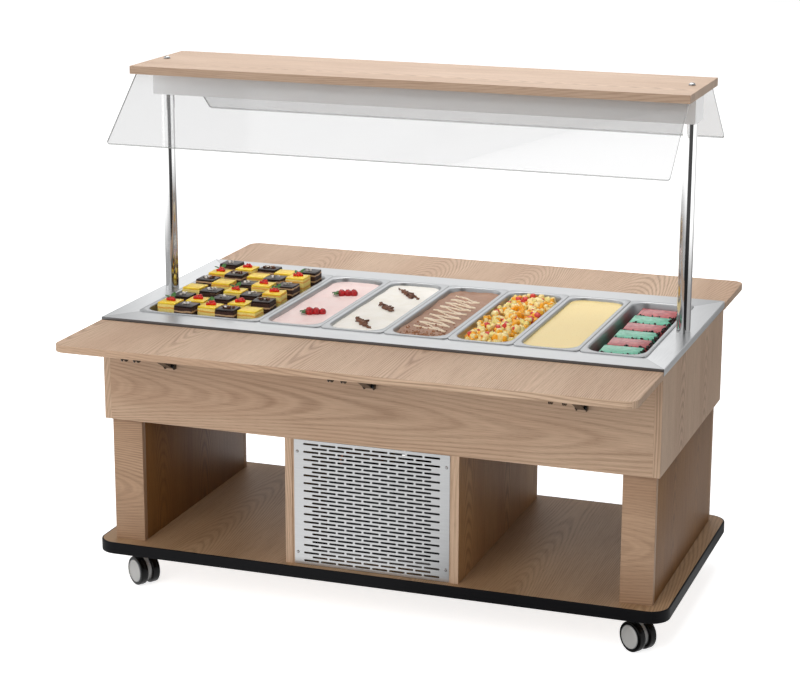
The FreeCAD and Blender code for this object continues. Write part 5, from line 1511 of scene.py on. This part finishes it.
@dataclass
class MachineRoom:
    """Grilles, condensing unit and controls."""

    shop: Workshop
    slot_length: float = 0.040
    slot_height: float = 0.005
    slots: int = 8
    pitch: float = 0.0445
    rows: int = 31
    row: float = 0.010
    screw_side: float = 0.1915
    screw_rise: float = 0.1295
    screw: float = 0.0045
    raised: float = 0.0006
    window: tuple[float, float] = (0.034, 0.016)
    key: float = 0.0065

    def build(self) -> None:
        """Builds the grilles and controls, and dresses the machine."""
        self.front_grille()
        self.shop.finish("louvred_rear_plate", self.shop.solid("rear_grille"), [GRILLE_STEEL], "bar",
                         "grille_steel", ["rear_grille"], 20.0)
        machine = {"unit_tray": GALVANISED, "compressor": ENAMEL, "condenser": CONDENSER_SHADE,
                   "condenser_fan": FAN_BLACK, "refrigerant_pipes": COPPER, "fasteners": SCREW_STEEL}
        for node, finish in machine.items():
            self.shop.dress(finish, node)
        self.controls()

    def front_grille(self) -> None:
        """Builds the front plate with its staggered round-ended slots; its slot walls and rim are near black,
        painted shade.
        """
        low, high = corners("front_grille")
        middle = (low + high) / 2
        shape = bmesh.new()
        ring(shape, high.x - low.x, high.z - low.z, 0.002, 0.0, steps=3)
        for rank in range(self.rows):
            count = self.slots - rank % 2
            z = ((self.rows - 1) / 2 - rank) * self.row
            for place in range(count):
                x = (place - (count - 1) / 2) * self.pitch
                ring(shape, self.slot_length, self.slot_height, self.slot_height * 0.499, 0.0, (x, z), 4)
        for x in (-self.screw_side, self.screw_side):
            for z in (-self.screw_rise, self.screw_rise):
                ring(shape, self.screw, self.screw, 0.00224, 0.0, (x, z), 4)
        bmesh.ops.remove_doubles(shape, verts=shape.verts, dist=WELD)
        bmesh.ops.triangle_fill(shape, use_beauty=True, use_dissolve=False, edges=shape.edges)
        grown = bmesh.ops.extrude_face_region(shape, geom=shape.faces)["geom"]
        bmesh.ops.translate(shape, vec=(0, 0, high.y - low.y), verts=only(grown, Vert))
        bmesh.ops.recalc_face_normals(shape, faces=shape.faces)
        stand = at((middle.x, high.y, middle.z), Matrix.Rotation(math.pi / 2, 3, "X"))
        bmesh.ops.transform(shape, matrix=stand, verts=shape.verts)
        shape.normal_update()
        # Faces not facing Y, the slot walls and the plate's rim, take the near-black painted shade
        for face in shape.faces:
            face.material_index = 0 if abs(face.normal.y) > 0.5 else 1
        self.shop.finish("slotted_front_plate", shape, [GRILLE_STEEL, SLOT_WALL_SHADE], "bar", "grille_steel",
                         ["front_grille"], 40.0)

    def controls(self) -> None:
        """Builds the controller's case, window and keys, and the two rockers."""
        low, high = corners("controller")
        self.shop.eased("controller_case", "controller", CONTROL_BLACK, "bar", "control_black", self.raised)
        middle = Vector(((low.x + high.x) / 2, high.y, (low.z + high.z) / 2))
        shape = bmesh.new()
        long, tall = self.window
        block(shape, (long, self.raised, tall), at(middle + Vector((0.012, 0, 0))), 0.0002, 0, 1)
        for place in range(4):
            aside = Vector((-0.012 - 0.009 * (place % 2), 0, 0.005 - 0.010 * (place // 2)))
            block(shape, (self.key, self.raised, self.key), at(middle + aside), 0.0002, 1, 1)
        self.shop.finish("controller_window_and_keys", shape, [ENAMEL, KEY_GREY], "bar", "control_black")
        for name in ("power", "light"):
            self.shop.eased(f"{name}_rocker_cap", f"{name}_switch", KEY_GREY, f"{name}_rocker", "rocker",
                            0.0004)


# ------------------------------------------------------------------ studio


@dataclass
class Studio:
    """Camera, lamps, floor and background."""

    eye: Vector = Vector((1.7528, -5.1047, 2.0560))
    turn: tuple[float, float, float] = (75.2554, -0.1470, 19.4654)
    lens: float = 99.536

    def build(self) -> None:
        """Sets up everything that isn't the object."""
        self.camera()
        self.floor()
        self.world()
        self.lamp("key", (-0.6, -4.3, 2.5), (0.15, 0, 0.65), 3.8, 118, mirrored=False)
        self.lamp("overhead", (0.0, 0.6, 3.7), (0, 0, 0.7), 3.0, 70)
        self.lamp("left_fill", (-3.6, -0.8, 1.6), (0, 0, 0.6), 2.4, 10)
        self.lamp("right_fill", (3.6, -1.6, 2.4), (0.4, 0, 0.8), 2.0, 9)
        self.lamp("back_fill", (-1.2, 3.4, 2.4), (0, 0, 0.7), 2.4, 14)

    def camera(self) -> None:
        """Stands the camera where the photograph was taken from."""
        data = bpy.data.cameras.new("camera")
        data.lens = self.lens
        data.sensor_width = 36.0
        data.clip_end = 60.0
        camera = new_object("camera", data)
        camera.location = self.eye
        camera.rotation_euler = [math.radians(angle) for angle in self.turn]
        bpy.context.scene.camera = camera

    def lamp(self, name: str, place: Sequence[float], aim: Sequence[float], size: float, power: float,
             mirrored: bool = True) -> None:
        """Hangs one square soft lamp.

        Args:
            name: its name.
            place: where it hangs.
            aim: where it points.
            size: its side.
            power: its power, in watts.
            mirrored: whether metal mirrors it.
        """
        data = bpy.data.lights.new(name, "AREA")
        data.size = size
        data.energy = power
        light = new_object(name, data)
        light.location = place
        light.visible_glossy = mirrored
        light.rotation_euler = (Vector(aim) - Vector(place)).to_track_quat("-Z", "Y").to_euler()

    def floor(self) -> None:
        """Lays the pale floor, white to the camera but for the object's shadow, and partly dark to metal."""
        shape = bmesh.new()
        bmesh.ops.create_grid(shape, x_segments=1, y_segments=1, size=14.0)
        floor = new_object("floor", new_mesh("floor", shape))
        graph = Graph(bpy.data.materials.new("pale_floor"))
        grain = graph.noise(graph.place(), 40.0, 2.0)
        tone = graph.blend(grain * 0.1, (0.86, 0.86, 0.86), (0.82, 0.82, 0.82))
        matt = graph.node("ShaderNodeBsdfDiffuse", values={"Color": tone})
        camera, glossy, through = graph.rays()
        x, y, _ = graph.split(graph.place())
        reach = (x * x + y * y + 0.01).root()
        side, back = x / reach, (y / reach).between(-0.2, 0.1)
        dark = side.between(-0.05, 0.20) * (1.0 - side.between(0.86, 0.92)) * (1.0 - back * 0.5)
        mirrored = 1.10 - reach.between(1.6, 2.8) * 0.55 + reach.between(4.0, 5.6) * 1.5
        seen = graph.glow((camera + through).held() * (0.76 + reach.between(1.2, 3.2) * 0.26))
        seen = graph.node("ShaderNodeAddShader", values={0: matt, 1: seen})
        reflected = graph.glow(mirrored * (1.0 - dark * 0.95))
        graph.close(graph.node("ShaderNodeMixShader", values={0: glossy, 1: seen, 2: reflected}))
        floor.data.materials.append(graph.owner)

    def world(self) -> None:
        """Fills the room with even light, white to the camera, with darker panels for metal to mirror."""
        world = bpy.data.worlds.new("studio_room")
        bpy.context.scene.world = world
        graph = Graph(world)
        camera, glossy, through = graph.rays()
        x, y, z = graph.split(graph.node("ShaderNodeTexCoord", output="Generated"))
        panel = x.between(0.05, 0.22) * (1.0 - y.between(0.15, 0.4)) * (1.0 - x.between(0.90, 0.96))
        behind = y.between(0.25, 0.75) * (1.0 - z.between(0.55, 0.85))
        mirror = 0.95 - panel * 0.80 - behind * 0.42
        other = 1.0 - (camera + glossy + through).held()
        strength = (camera + through).held() + glossy * mirror + other * 0.22
        background = graph.node("ShaderNodeBackground", values={"Color": PURE, "Strength": strength})
        graph.close(background, "ShaderNodeOutputWorld")


def main() -> None:
    """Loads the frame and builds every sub-assembly."""
    logging.basicConfig(level=logging.INFO, format="%(name)s: %(message)s")
    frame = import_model()
    bpy.context.scene.view_settings.view_transform = "Standard"
    shop = Workshop(frame["nodes"])
    for part in (Cabinet(shop), TraySlides(shop), Worktop(shop), ColdWell(shop), Canopy(shop),
                 Casters(shop, frame["joints"]), MachineRoom(shop), Studio()):
        log.info("building %s", type(part).__name__)
        part.build()


if __name__ == "__main__":
    main()
